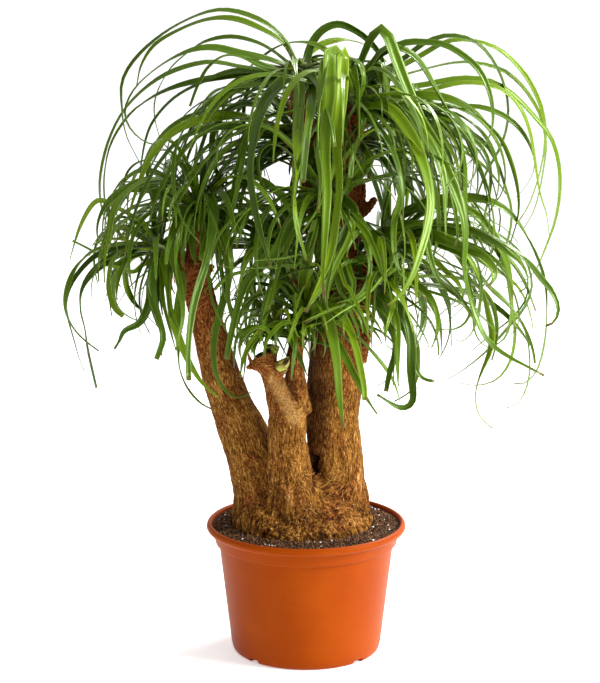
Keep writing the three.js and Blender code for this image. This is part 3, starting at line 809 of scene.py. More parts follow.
def ridged_at(places, wide, tall, seed=0.0):
    """Noise with sharp valleys and round backs, from -1 to 1."""
    return 2 * np.abs(noise_at(places, wide, tall, seed)) ** 0.7 - 0.7


LUMPS = {"cell": (26, 34), "depth": 1.5}  # mm across the grain and along it, and mm deep
ROPES = {"cell": (13, 70), "depth": 1.9, "up_high": 0.35}  # share of the depth that is left up high
FISSURES = {"cell": (5, 15), "depth": 1.2, "up_high": 0.6}
WRINKLES = {"cell": (6, 9), "depth": 1.5, "at": (22, -60, 215), "full": 23.2, "reach": 58}  # in front
SLANT = {"share": 0.3, "from": 170}  # how far the grain leans over where the bark wrinkles
FRILLS = {"cell": (5, 45), "depth": 1.7, "over": (180, 226)}  # upright folds just above the soil
FRILL_SHADE = 2.5  # how much darker than its depth a frill's valley is
SCARS = {"depth": 0.35, "to_a_radian": 1.1}  # rings that old leaves left, about 7 mm apart
LUMPS_OF_YOUNG = 0.4
WARP = {"cell": (24, 24), "shift": 3}  # mm by which the grain wavers
LOW_DOWN = (200, 330)  # heights over which the bark gets calmer
old = 1 - young
low_down = 1 - smoothstep(spots[:, 2], *LOW_DOWN)
from_wrinkles = np.linalg.norm(spots - WRINKLES["at"], axis=1)
wrinkled = 1 - smoothstep(from_wrinkles, WRINKLES["full"], WRINKLES["reach"])
slanted = grain.copy()
slanted[:, 0] += SLANT["share"] * wrinkled * (spots[:, 2] - SLANT["from"])
warp = WARP["shift"] * noise_at(spots, *WARP["cell"], 3.1)
slanted[:, 0] += warp
slanted[:, 1] += warp
lumps = noise_at(spots, *LUMPS["cell"]) * LUMPS["depth"]
ropes = ridged_at(slanted, *ROPES["cell"]) * ROPES["depth"]
ropes *= ROPES["up_high"] + (1 - ROPES["up_high"]) * low_down
fissures = ridged_at(slanted, *FISSURES["cell"], 9.2) * FISSURES["depth"]
fissures *= FISSURES["up_high"] + (1 - FISSURES["up_high"]) * low_down
wrinkles = ridged_at(slanted, *WRINKLES["cell"], 4.4) * WRINKLES["depth"] * wrinkled
frills = ridged_at(slanted, *FRILLS["cell"], 6.3) * FRILLS["depth"]
frills *= 1 - smoothstep(spots[:, 2], *FRILLS["over"])


def from_line(ends):
    """How far each place lies from a line, as seen from the front, and its share along that line."""
    start, end = np.array(ends, float)
    flat = spots[:, (0, 2)] - start
    share = np.clip(flat @ (end - start) / np.sum((end - start) ** 2), 0, 1)
    return np.linalg.norm(flat - share[:, None] * (end - start), axis=1), share


# A narrow split runs down the base from the fork of the centre and the right stem.
SPLIT = {  # its ends across and up, and how it changes down to its lower end
    "ends": ((13, 272), (9, 222)),
    "half_width": 5.5,
    "depth": 8,
    "ragged": 3,
    "narrower": 2.5,
    "shallower": 0.6,
}
ABOVE_SOIL = (169.5, 179.5)  # heights over which the relief sets in
from_split, along_split = from_line(SPLIT["ends"])
from_split += SPLIT["ragged"] * noise_at(spots, 6, 11, 7.7) + SPLIT["narrower"] * along_split
split = (1 - smoothstep(from_split, 0, SPLIT["half_width"])) * (1 - SPLIT["shallower"] * along_split)
split *= facing[:, 1] < 0
scars = np.sin(grain[:, 2] / SCARS["to_a_radian"] + 2 * noise_at(spots, 12, 12)) * SCARS["depth"]
relief = old * (lumps + ropes + fissures + wrinkles + frills) + young * (LUMPS_OF_YOUNG * lumps + scars)
relief *= smoothstep(spots[:, 2], *ABOVE_SOIL)
relief -= SPLIT["depth"] * split

# The centre stem's sawn top: a flat, dark, weathered face.
SAWN = {"at": (-58, -50, 422), "reach": 16, "facing": 0.75, "relief": 0.15}
top_path = paths["stem_centre"]
sawn_ahead = top_path[-1, :3] - top_path[-3, :3]
sawn_ahead /= np.linalg.norm(sawn_ahead)
from_cut = spots - SAWN["at"]
sawn = (facing @ sawn_ahead > SAWN["facing"]) & (np.linalg.norm(from_cut, axis=1) < SAWN["reach"])
relief[sawn] *= SAWN["relief"]

spots += facing * relief[:, None]
trunk.data.vertices.foreach_set("co", (spots * MM).ravel())
trunk.data.update()

# A pale streak is rubbed on the centre stem. Painted shade darkens the right stem's inner flank,
# the split low in the forks and the left side of the twig, and the shoot's tip is green.
RUBBED = {"ends": ((-44, 388), (-13, 336)), "over": (2, 15), "ragged": 7}
SHADE_ON_FLANK = {"facing": (-0.1, 0.7), "across": (-2, 6), "up": (205, 245), "ends": (455, 520)}
SHADE_BY_TWIG = {"off": (13, 16), "facing": (-0.15, 0.25), "up": (345, 370)}
GREEN_TIP = {"off": (9, 13), "up": (415, 422)}
up = spots[:, 2]
from_streak = from_line(RUBBED["ends"])[0] + RUBBED["ragged"] * noise_at(spots, 6, 12, 2.2)
rubbed = (1 - smoothstep(from_streak, *RUBBED["over"])) * (facing[:, 1] < 0.1)
stained = smoothstep(-facing[:, 0], *SHADE_ON_FLANK["facing"]) * smoothstep(spots[:, 0], *SHADE_ON_FLANK["across"])
stained *= smoothstep(up, *SHADE_ON_FLANK["up"]) * (1 - smoothstep(up, *SHADE_ON_FLANK["ends"]))
from_twig = np.linalg.norm(spots[:, None] - paths["twig"][None, :, :3], axis=2).min(axis=1)
twig_shaded_side = 1 - smoothstep(from_twig, *SHADE_BY_TWIG["off"])
twig_shaded_side *= smoothstep(-facing[:, 0], *SHADE_BY_TWIG["facing"])
stained = np.maximum(stained, twig_shaded_side * smoothstep(up, *SHADE_BY_TWIG["up"]))
stained = np.maximum(stained, split) * (0.75 + 0.25 * noise_at(spots, 6, 12, 5.5))
from_shoot = np.linalg.norm(spots[:, None] - paths["shoot"][None, -4:, :3], axis=2).min(axis=1)
budding = (1 - smoothstep(from_shoot, *GREEN_TIP["off"])) * smoothstep(up, *GREEN_TIP["up"])
relief_span = LUMPS["depth"] + ROPES["depth"] + FISSURES["depth"]
for name, kind, field, values in (
    ("grain", "FLOAT_VECTOR", "vector", slanted * MM),
    ("relief", "FLOAT", "value", (relief + FRILL_SHADE * np.minimum(frills, 0)) / relief_span),
    ("young", "FLOAT", "value", young),
    ("rubbed", "FLOAT", "value", rubbed),
    ("sawn", "FLOAT", "value", sawn.astype(float)),
    ("stained", "FLOAT", "value", stained),
    ("budding", "FLOAT", "value", budding),
):
    attribute = trunk.data.attributes.new(name, kind, "POINT")
    attribute.data.foreach_set(field, np.ascontiguousarray(values, np.float32).ravel())

# Cork bark: dry, matt and fibrous, tan on its worn ridges and dark brown in its splits, redder
# and smoother on the young limbs, with a grey weathered face where a stem was sawn, and a dark
# painted shade laid over the right stem's inner flank, the split and the twig's left side.
bark, tree, shader = new_material("cork_bark", Roughness=0.92)
shader.inputs["Specular IOR Level"].default_value = 0.08
FIBRE = {"cell": (1.7, 7.5), "height": 1.8}  # mm between fibres and along one, and how high they stand
COARSE = (6, 17)
PATCHES = 38.46  # mm across a reddish patch
SPECKS = {"size": 1.923, "height": 0.8}
BARK_LEVEL = {"relief": 0.25, "coarse": 0.16, "specks": 0.45, "dark": 0.56, "light": 1.13}
WORN_SHARE, PAINTED_SHADE_SHARE, PATCH_SHARE = 0.48, 0.85, 0.75  # how far each tone covers the one below
grain_at, relief_at, young_at, rubbed_at, sawn_at, painted_shade_at, budding_at = (
    add(tree, "ShaderNodeAttribute", attribute_name=name).outputs["Vector" if name == "grain" else "Fac"]
    for name in ("grain", "relief", "young", "rubbed", "sawn", "stained", "budding")
)


def fibres(wide, tall, detail):
    """Noise whose cells are wide across the grain and tall along it, in millimetres."""
    cells = (1 / (wide * MM), 1 / (wide * MM), 1 / (tall * MM))
    drawn_out = add(tree, "ShaderNodeVectorMath", {0: grain_at, 1: cells}, operation="MULTIPLY")
    return add(
        tree,
        "ShaderNodeTexNoise",
        {"Vector": drawn_out.outputs[0], "Scale": 1.0, "Detail": detail, "Roughness": 0.6},
    ).outputs["Fac"]


fine = fibres(*FIBRE["cell"], 4.0)
coarse = fibres(*COARSE, 3.0)
coords = add(tree, "ShaderNodeTexCoord")
broad, specks = (
    add(
        tree,
        "ShaderNodeTexNoise",
        {"Vector": coords.outputs["Object"], "Scale": 1 / (size * MM), "Detail": 3.0},
    ).outputs["Fac"]
    for size in (PATCHES, SPECKS["size"])
)
# How light the bark is: its fibres in full, with a share of its relief and of its other noises.
level = fine
for part, weight in (
    (relief_at, BARK_LEVEL["relief"]),
    (coarse, BARK_LEVEL["coarse"]),
    (specks, BARK_LEVEL["specks"]),
):
    level = add(tree, "ShaderNodeMath", {0: part, 1: weight, 2: level}, operation="MULTIPLY_ADD").outputs[0]
level = add(
    tree,
    "ShaderNodeMapRange",
    {"Value": level, "From Min": BARK_LEVEL["dark"], "From Max": BARK_LEVEL["light"]},
).outputs[0]
corky = add(
    tree,
    "ShaderNodeValToRGB",
    {0: level},
    [(0.0, "#28150a"), (0.28, "#59350f"), (0.5, "#875820"), (0.75, "#b58440"), (1.0, "#ebcc92")],
)
ruddy = add(
    tree,
    "ShaderNodeValToRGB",
    {0: level},
    [(0.0, "#2b130b"), (0.35, "#673114"), (0.65, "#9f5c2b"), (1.0, "#d8a86c")],
)
pale = add(
    tree, "ShaderNodeValToRGB", {0: specks}, [(0.35, "#9a6f38"), (0.55, "#c99c5c"), (0.7, "#e0bd82")]
)
# Painted shade: the dark tone laid where shade falls on the right stem's inner flank, in the split and
# beside the twig.
painted_shade_tone = add(
    tree, "ShaderNodeValToRGB", {0: level}, [(0.0, "#150a06"), (0.5, "#3d2013"), (1.0, "#74492b")]
)
green = add(tree, "ShaderNodeValToRGB", {0: fine}, [(0.35, "#5d5a20"), (0.5, "#8f9a38"), (0.7, "#b4b765")])
grey = add(tree, "ShaderNodeValToRGB", {0: specks}, [(0.3, "#12100e"), (0.7, "#37322c")])
patches = add(
    tree,
    "ShaderNodeMapRange",
    {"Value": broad, "From Min": 0.5, "From Max": 0.72, "To Max": PATCH_SHARE},
)
redness = add(tree, "ShaderNodeMath", {0: patches.outputs[0], 1: young_at}, operation="MAXIMUM")
worn = add(tree, "ShaderNodeMath", {0: rubbed_at, 1: WORN_SHARE}, operation="MULTIPLY")
# How far the painted shade covers the bark's own tone.
darkened = add(tree, "ShaderNodeMath", {0: painted_shade_at, 1: PAINTED_SHADE_SHARE}, operation="MULTIPLY")
bark_tone = corky.outputs["Color"]
for share, over in (
    (redness.outputs[0], ruddy),
    (worn.outputs[0], pale),
    (darkened.outputs[0], painted_shade_tone),
    (budding_at, green),
    (sawn_at, grey),
):
    laid_over = {0: share, 6: bark_tone, 7: over.outputs["Color"]}
    bark_tone = add(tree, "ShaderNodeMix", laid_over, data_type="RGBA").outputs[2]
tree.links.new(bark_tone, shader.inputs["Base Color"])
fibrous = add(
    tree, "ShaderNodeBump", {"Strength": 1.0, "Distance": FIBRE["height"] * MM, "Height": fine}
)
speckled = add(
    tree,
    "ShaderNodeBump",
    {"Strength": 0.8, "Distance": SPECKS["height"] * MM, "Height": specks, "Normal": fibrous.outputs[0]},
)
tree.links.new(speckled.outputs[0], shader.inputs["Normal"])
trunk.data.materials.clear()
trunk.data.materials.append(bark)
smooth_faces(trunk)
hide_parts("trunk")
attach(trunk, "root")

# ---------------------------------------------------------------- leaves
# Every limb ends in a head of strap leaves round a green bud: tough, channelled blades that arch
# out and hang in long tapering tips. The young ones stand up, yellow-green, in the middle.
HEADS = {  # leaves besides the leading ones, longest one, age of the oldest, and how much painted shade darkens all of them, for the heads that lie in shade
    "crown_left": (20, 400, 1, 0.35),
    "crown_right": (20, 390, 1, 0.1),
    "back_left": (54, 380, 1, 0.6),
    "back_right": (60, 380, 1, 0.5),
    "middle": (54, 300, 1, 0.4),
    "right_high": (24, 300, 1, 0.1),
    "right_low": (32, 250, 1, 0.2),
    "behind": (78, 300, 1, 0.7),
    "left_high": (76, 270, 1, 0.55),
    "left_low": (22, 220, 1, 0.3),
    "twig": (66, 230, 0.95, 0.05),
    "shoot": (34, 130, 0.85, 0),
}
# Leading leaves, which draw the plant as its front is seen: head, how far behind the pot's axis the
# tip lies, half width, kind of tip, and then points across and up, in the plane of that axis.
LEADING = [
    ("crown_left", -30, 5, "fine", (-28, 824), (-62, 852), (-112, 864), (-165, 846), (-212, 812),
     (-238, 776), (-240, 738), (-235, 702), (-217, 664)),
    ("crown_left", 20, 5.5, "fine", (-30, 820), (-62, 841), (-95, 853), (-130, 851), (-165, 838),
     (-196, 820), (-214, 794), (-221, 765)),
    ("crown_left", 60, 4, "fine", (-45, 812), (-72, 825), (-100, 830), (-130, 824), (-153, 810),
     (-178, 787), (-195, 755), (-198, 728), (-192, 700)),
    ("crown_left", -60, 6, "fine", (-50, 800), (-85, 808), (-120, 816), (-152, 811), (-190, 792),
     (-222, 764), (-236, 735), (-230, 712), (-213, 695), (-197, 690)),
    ("crown_left", 0, 6, "fine", (-35, 782), (-85, 790), (-130, 796), (-185, 779), (-230, 743), (-256, 699),
     (-270, 646), (-268, 602), (-253, 562)),
    ("crown_left", 50, 5, "fine", (-40, 778), (-90, 780), (-160, 768), (-212, 744), (-240, 716),
     (-258, 682), (-265, 640), (-262, 600), (-250, 560)),
    ("crown_left", -50, 6, "cut", (-50, 790), (-98, 806), (-125, 792), (-140, 768), (-151, 740)),
    ("crown_left", 40, 5, "fine", (-60, 785), (-100, 784), (-140, 768), (-172, 750), (-198, 722),
     (-210, 694), (-217, 655), (-216, 635)),
    ("crown_left", -240, 8, "fine", (-30, 772), (-50, 752), (-61, 725), (-67, 695), (-72, 660), (-70, 630),
     (-66, 600), (-58, 565), (-47, 528)),
    ("crown_left", -295, 7.5, "fine", (-9, 770), (-9, 740), (-11, 700), (-14, 660), (-17, 620), (-13, 580),
     (-5, 555), (0, 536)),
    ("crown_left", -230, 8.5, "cut", (3, 785), (10, 770), (7, 745), (1, 715), (-2, 680), (-5, 640)),
    ("crown_left", 40, 5.5, "fine", (0, 800), (8, 823), (22, 840), (42, 847), (65, 838), (85, 822),
     (98, 802), (101, 782), (99, 764)),
    ("crown_left", 70, 4.5, "fine", (2, 805), (10, 815), (25, 823), (48, 826), (70, 822), (90, 812),
     (104, 798)),
    ("crown_right", 30, 4.5, "fine", (40, 795), (18, 817), (-10, 823), (-35, 818), (-62, 801), (-80, 785)),
    ("crown_right", -290, 9, "fine", (46, 790), (31, 814), (29, 780), (30, 755), (26, 715), (25, 670),
     (27, 630), (26, 600), (24, 560), (22, 520), (24, 485)),
    ("crown_right", -250, 8.5, "fine", (54, 785), (47, 810), (46, 780), (45, 750), (42, 715), (42, 680),
     (46, 650), (44, 615), (38, 575), (32, 545), (22, 515), (8, 485), (0, 466)),
    ("crown_right", -80, 5, "fine", (58, 780), (65, 799), (73, 785), (77, 760), (74, 730), (70, 705),
     (64, 680), (57, 660)),
    ("crown_right", -90, 9, "fine", (75, 800), (93, 837), (104, 830), (116, 800), (130, 765), (146, 728),
     (165, 698), (181, 668), (190, 632), (196, 600), (200, 570), (196, 555)),
    ("crown_right", -60, 8, "fine", (85, 790), (102, 813), (125, 812), (145, 797), (165, 765), (182, 735),
     (198, 700), (206, 665), (208, 620), (210, 565)),
    ("crown_right", -120, 8, "fine", (75, 742), (100, 746), (120, 735), (142, 715), (162, 690), (175, 662),
     (181, 635), (182, 600), (184, 570)),
    ("crown_right", -240, 8, "fine", (80, 738), (106, 738), (130, 712), (146, 682), (158, 645), (163, 610),
     (158, 575), (150, 545), (140, 515), (125, 490), (108, 476)),
    ("crown_right", 40, 4.5, "fine", (85, 775), (125, 800), (155, 822), (186, 831), (218, 823), (242, 798),
     (258, 762), (262, 725), (254, 690), (236, 655), (224, 620), (220, 575)),
    ("crown_right", 80, 5, "cut", (90, 772), (150, 806), (178, 822), (205, 826), (240, 818), (265, 802),
     (285, 780), (298, 758), (307, 735), (312, 700), (306, 655), (293, 612), (280, 590)),
    ("crown_right", -40, 5, "fine", (90, 800), (125, 821), (150, 823), (178, 820), (205, 805), (226, 785),
     (239, 755), (243, 722), (237, 697), (218, 672), (196, 650)),
    ("crown_right", 100, 4.5, "cut", (100, 770), (155, 788), (205, 797), (250, 789), (275, 772), (293, 750),
     (306, 725), (313, 690), (310, 655), (305, 625), (298, 600), (285, 577)),
    ("crown_right", 60, 5.5, "fine", (90, 758), (150, 766), (200, 775), (240, 771), (270, 753), (300, 722),
     (318, 700), (329, 668), (332, 630), (327, 590), (312, 545), (300, 518), (280, 506), (262, 499)),
    ("crown_right", 20, 5, "fine", (95, 745), (150, 757), (205, 770), (250, 763), (276, 741), (291, 708),
     (299, 668), (306, 628), (316, 598), (321, 565)),
    ("crown_right", 20, 4.5, "fine", (100, 735), (160, 735), (215, 740), (250, 732), (275, 715), (292, 690),
     (299, 662), (290, 638), (276, 621)),
    ("crown_right", -20, 7, "cut", (110, 752), (170, 753), (210, 738), (240, 712), (258, 688), (271, 655),
     (278, 620), (277, 590), (268, 558)),
    ("crown_right", -30, 6.5, "fine", (120, 730), (185, 732), (222, 712), (243, 682), (252, 645),
     (247, 612), (232, 588), (214, 572)),
    ("crown_right", 10, 6.5, "fine", (120, 742), (185, 740), (225, 722), (250, 690), (260, 655), (257, 628),
     (242, 605), (226, 580)),
    ("crown_right", -50, 6.5, "fine", (130, 725), (180, 722), (208, 700), (224, 665), (238, 630),
     (246, 590), (245, 555), (236, 515)),
    ("crown_right", -150, 8.5, "fine", (100, 745), (140, 715), (172, 675), (192, 635), (205, 595),
     (208, 560), (207, 525), (215, 488), (226, 455), (242, 427), (266, 408), (294, 393), (318, 380)),
    ("crown_right", -270, 6, "fine", (35, 788), (24, 797), (20, 760), (17, 720), (16, 680), (19, 640),
     (14, 600)),
    ("crown_right", -110, 6.5, "fine", (50, 785), (38, 812), (36, 790), (35, 760), (36, 720), (38, 690)),
    ("crown_right", -60, 6, "fine", (62, 790), (57, 803), (54, 780), (50, 750), (45, 728)),
    ("right_high", -40, 8, "fine", (115, 590), (170, 615), (225, 618), (262, 603), (286, 575), (303, 543),
     (315, 508), (319, 465), (316, 420), (308, 388), (294, 371), (277, 369)),
    ("right_high", -100, 8.5, "fine", (120, 575), (170, 577), (220, 574), (262, 556), (292, 533),
     (310, 512), (325, 495), (334, 475), (333, 460), (325, 450), (318, 448)),
    ("right_high", -130, 8.5, "fine", (125, 568), (165, 570), (205, 556), (232, 544), (249, 526),
     (250, 512), (242, 503)),
    ("right_high", 0, 6.5, "fine", (125, 560), (175, 555), (215, 530), (245, 495), (272, 470), (290, 442),
     (297, 408), (296, 372), (285, 344), (268, 336)),
    ("right_high", -60, 7.5, "fine", (125, 560), (180, 560), (215, 535), (230, 500), (240, 465), (246, 438),
     (243, 412), (231, 380), (226, 350), (232, 325), (250, 307)),
    ("right_high", 60, 4.5, "fine", (130, 575), (190, 590), (245, 575), (283, 545), (298, 508), (290, 475),
     (268, 446), (238, 412), (205, 385), (175, 369), (148, 364)),
    ("right_high", 90, 6, "cut", (130, 560), (200, 575), (255, 560), (288, 525), (292, 490), (276, 463),
     (250, 440), (222, 416)),
    ("right_high", 40, 5, "fine", (120, 560), (190, 575), (240, 560), (262, 525), (270, 485), (277, 440),
     (272, 402), (255, 376), (228, 367), (202, 371)),
    ("right_low", 50, 6, "cut", (112, 530), (150, 530), (178, 502), (190, 470), (193, 420)),
    ("right_low", 20, 5.5, "fine", (110, 525), (140, 512), (164, 482), (177, 452), (181, 409)),
    ("right_low", -60, 7, "fine", (112, 520), (145, 508), (158, 480), (158, 452), (150, 428), (143, 410)),
    ("right_low", -120, 8, "fine", (98, 492), (118, 475), (133, 452), (139, 420), (141, 385), (144, 352),
     (139, 339), (124, 336), (95, 354)),
    ("right_low", -80, 7.5, "cut", (96, 482), (108, 455), (119, 432), (119, 410), (112, 385), (107, 358)),
    ("right_low", 10, 5.5, "cut", (110, 480), (133, 455), (146, 430), (149, 400), (147, 375), (138, 358),
     (118, 345)),
    ("right_low", 40, 4.5, "cut", (100, 475), (116, 450), (121, 420), (119, 395), (112, 378), (100, 368),
     (86, 363)),
    ("right_low", -60, 5.5, "cut", (108, 478), (130, 444), (143, 405), (149, 384), (158, 375), (171, 372)),
    ("right_low", 60, 6, "cut", (112, 518), (142, 520), (158, 502), (149, 482), (131, 473)),
    ("twig", -20, 4.5, "fine", (30, 462), (60, 440), (80, 420), (104, 392), (118, 368), (126, 338),
     (123, 315), (110, 292)),
    ("twig", -190, 8.5, "cut", (18, 470), (38, 470), (52, 452), (63, 425), (71, 395), (77, 365), (78, 346)),
    ("twig", -150, 7, "fine", (18, 455), (36, 432), (52, 405), (66, 378), (80, 350), (95, 327)),
    ("twig", -230, 9, "fine", (6, 468), (19, 473), (29, 455), (36, 425), (41, 390), (44, 355), (50, 308)),
    ("twig", -60, 8.5, "fine", (-12, 475), (-5, 510), (2, 545), (10, 580), (16, 610), (18, 640)),
    ("twig", -50, 6.5, "fine", (2, 470), (12, 495), (22, 525), (31, 560), (36, 600)),
    ("twig", -90, 7, "fine", (-22, 450), (-42, 452), (-60, 440), (-74, 422), (-84, 400), (-88, 378)),
    ("shoot", -140, 6.5, "fine", (-44, 431), (-36, 444), (-26, 448), (-18, 438), (-15, 422), (-18, 399),
     (-20, 374)),
    ("twig", -80, 6.5, "fine", (-8, 437), (1, 459), (14, 478), (33, 488)),
    ("twig", -90, 6.5, "fine", (-12, 434), (-18, 459), (-12, 483), (-2, 503)),
    ("twig", -100, 7, "fine", (-6, 435), (12, 449), (33, 453), (52, 442), (62, 423)),
    ("shoot", -80, 6, "fine", (-48, 429), (-59, 444), (-75, 445), (-88, 434), (-99, 415)),
    ("shoot", -60, 5.5, "fine", (-51, 431), (-66, 442), (-80, 437), (-88, 419), (-86, 399)),
    ("left_high", -110, 2.6, "fine", (-131, 534), (-128, 506), (-125, 484), (-119, 465), (-111, 449),
     (-103, 434)),
    ("crown_left", -60, 4, "fine", (-58, 742), (-84, 683), (-102, 597), (-113, 540), (-110, 496),
     (-103, 475), (-97, 456)),
    ("left_high", -90, 3, "fine", (-122, 566), (-106, 558), (-98, 537), (-101, 515), (-107, 488)),
    ("middle", -120, 4.5, "fine", (15, 534), (-8, 523), (-24, 517), (-40, 510), (-49, 499), (-53, 486),
     (-58, 469), (-59, 448), (-59, 427)),
    ("middle", -130, 2.2, "fine", (-8, 535), (-28, 530), (-44, 527), (-65, 526), (-84, 527), (-102, 527),
     (-118, 530)),
    ("twig", -90, 4, "fine", (-14, 441), (-23, 448), (-35, 450), (-47, 448), (-62, 442), (-72, 429),
     (-80, 416), (-87, 399)),
    ("behind", 80, 2.2, "fine", (-53, 540), (-68, 521), (-79, 509), (-91, 492), (-104, 478)),
    ("behind", 70, 2, "fine", (-59, 534), (-77, 517), (-88, 505), (-99, 494), (-115, 480)),
    ("behind", 90, 2.2, "fine", (-74, 540), (-98, 526), (-114, 515), (-126, 502), (-138, 487)),
    ("behind", 60, 2.4, "fine", (-40, 492), (-59, 488), (-77, 486), (-99, 483), (-115, 476)),
    ("behind", 50, 2.2, "fine", (-35, 475), (-51, 471), (-67, 471), (-84, 467), (-100, 457)),
    ("behind", 40, 2, "fine", (-35, 445), (-51, 441), (-64, 438), (-78, 431), (-92, 419)),
    ("behind", 80, 2.2, "fine", (-8, 499), (-24, 494), (-42, 484), (-59, 476), (-75, 475), (-91, 479)),
    ("behind", 60, 2, "fine", (-72, 550), (-84, 534), (-86, 517), (-87, 496), (-84, 478)),
    ("left_low", -120, 5, "fine", (-185, 560), (-180, 550), (-175, 537), (-171, 521), (-166, 492),
     (-164, 473), (-165, 453), (-170, 431), (-174, 414)),
    ("left_low", -60, 4.5, "fine", (-196, 556), (-200, 534), (-202, 492), (-198, 469), (-193, 454),
     (-191, 429), (-193, 407)),
    ("left_low", -70, 3.5, "fine", (-188, 550), (-192, 534), (-191, 492), (-186, 463), (-179, 435),
     (-174, 415)),
    ("left_low", -100, 1.8, "fine", (-184, 534), (-183, 492), (-181, 468), (-172, 446), (-158, 434)),
    ("middle", -140, 4, "fine", (55, 594), (68, 580), (79, 557), (84, 534), (83, 517), (74, 494), (58, 484),
     (41, 479)),
    ("right_low", -140, 3.5, "fine", (121, 525), (100, 509), (77, 491), (55, 479), (25, 467), (-4, 453)),
    ("middle", -220, 4.5, "fine", (60, 584), (41, 535), (26, 506), (10, 483), (-4, 467)),
    ("middle", -250, 4.5, "fine", (32, 610), (39, 588), (33, 531), (27, 491), (29, 465)),
    ("middle", -140, 4, "fine", (42, 503), (51, 486), (61, 461), (69, 441), (74, 412)),
    ("middle", -140, 4.5, "fine", (57, 523), (63, 506), (59, 483), (51, 459), (50, 434)),
    ("middle", -150, 8.5, "cut", (5, 618), (-12, 598), (-26, 575), (-40, 547), (-58, 527), (-76, 510),
     (-88, 482), (-96, 452), (-102, 425), (-106, 402)),
    ("back_left", -60, 7, "fine", (-40, 682), (-75, 648), (-98, 612), (-110, 580), (-114, 545), (-108, 505),
     (-98, 462)),
    ("back_left", -60, 6.5, "fine", (-40, 712), (-90, 727), (-140, 722), (-178, 703), (-204, 672),
     (-220, 635), (-233, 598), (-243, 562)),
    ("back_left", -110, 6, "fine", (-40, 700), (-90, 712), (-130, 710), (-165, 695), (-192, 665),
     (-210, 635), (-225, 600), (-236, 562), (-240, 540)),
    ("left_high", -200, 8, "cut", (-132, 622), (-122, 604), (-127, 565), (-135, 528), (-145, 495),
     (-153, 460), (-158, 415), (-157, 373)),
    ("left_high", -100, 6, "fine", (-118, 600), (-104, 560), (-104, 510), (-115, 465), (-123, 425),
     (-122, 388), (-112, 364), (-98, 351), (-86, 350), (-74, 357)),
    ("left_high", -50, 5.5, "fine", (-165, 622), (-200, 640), (-232, 635), (-258, 617), (-273, 590),
     (-275, 566), (-268, 553)),
    ("left_high", 30, 5.5, "fine", (-165, 615), (-205, 630), (-240, 628), (-262, 605), (-268, 578),
     (-266, 556)),
    ("back_right", 40, 6, "fine", (51, 699), (68, 704), (88, 705), (109, 696), (129, 676), (147, 654)),
    ("back_right", 10, 6.5, "fine", (57, 688), (75, 692), (99, 687), (120, 670), (136, 643), (144, 610)),
    ("back_right", -60, 8, "fine", (73, 683), (82, 672), (70, 651), (53, 630), (42, 597)),
    ("middle", -120, 8.5, "fine", (44, 617), (61, 602), (52, 578), (37, 550), (23, 521)),
    ("middle", -110, 7, "fine", (42, 612), (58, 604), (73, 586), (83, 565), (86, 534)),
    ("right_high", -70, 6.5, "fine", (73, 585), (93, 569), (112, 556), (119, 534), (116, 505)),
    ("right_high", -30, 8, "fine", (98, 582), (102, 610), (110, 638), (120, 654)),
    ("right_high", -60, 7, "fine", (103, 557), (112, 577), (133, 586), (155, 582), (171, 564)),
    ("right_high", -90, 7.5, "fine", (87, 574), (68, 569), (55, 550), (49, 523), (50, 494)),
    ("right_low", -80, 7, "fine", (82, 534), (66, 534), (54, 518), (50, 494), (55, 467)),
    ("crown_right", -100, 8, "cut", (65, 762), (74, 750), (71, 716), (61, 683), (57, 646)),
    ("crown_right", -90, 7, "fine", (53, 756), (48, 741), (53, 712), (61, 683), (72, 659), (78, 646)),
    ("left_high", -50, 7, "fine", (-150, 612), (-158, 595), (-164, 565), (-162, 530)),
    ("left_high", -60, 7.5, "cut", (-142, 614), (-139, 595), (-136, 565), (-139, 536)),
    ("left_high", -40, 6, "fine", (-132, 610), (-124, 592), (-120, 562), (-124, 540)),
    ("left_high", -50, 6.5, "fine", (-155, 602), (-172, 585), (-180, 556), (-177, 522)),
    ("left_high", -60, 7, "fine", (-146, 605), (-150, 580), (-150, 552), (-146, 530)),
    ("left_high", -70, 6, "fine", (-138, 600), (-130, 580), (-134, 556), (-142, 540)),
    ("left_low", -60, 7, "fine", (-176, 545), (-166, 510), (-170, 465), (-172, 425), (-170, 390),
     (-160, 363), (-143, 343), (-126, 333)),
    ("left_low", -110, 7.5, "fine", (-190, 535), (-186, 500), (-182, 465), (-172, 435), (-158, 400),
     (-140, 370), (-118, 350)),
    ("left_low", -90, 8, "cut", (-196, 545), (-205, 510), (-203, 480), (-196, 455), (-191, 430),
     (-200, 402)),
    ("left_low", -60, 7.5, "fine", (-200, 540), (-208, 510), (-207, 485), (-215, 462), (-225, 450),
     (-242, 441), (-249, 427), (-256, 416)),
    ("left_low", -20, 6.5, "cut", (-200, 552), (-228, 557), (-255, 555), (-283, 546), (-302, 528),
     (-315, 502), (-319, 475), (-313, 452), (-298, 432), (-276, 414)),
    ("left_low", 20, 4.5, "fine", (-202, 548), (-240, 552), (-272, 545), (-294, 527), (-311, 503),
     (-318, 478), (-315, 455), (-309, 430), (-303, 405), (-296, 386)),
    ("left_low", -70, 7.5, "cut", (-205, 548), (-240, 546), (-266, 533), (-286, 514), (-297, 493),
     (-299, 470), (-294, 445), (-290, 415), (-285, 388), (-280, 363)),
    ("left_low", -130, 7.5, "cut", (-205, 550), (-235, 549), (-254, 536), (-261, 508), (-259, 485),
     (-253, 470), (-243, 461)),
    ("left_low", 40, 5.5, "cut", (-205, 547), (-235, 538), (-258, 530), (-285, 549), (-309, 562)),
    ("left_low", -20, 4.5, "fine", (-190, 572), (-215, 590), (-245, 606), (-270, 617), (-284, 608),
     (-300, 578), (-313, 537)),
    ("left_low", 10, 4.5, "fine", (-205, 545), (-236, 540), (-237, 512), (-226, 480), (-208, 458),
     (-190, 440)),
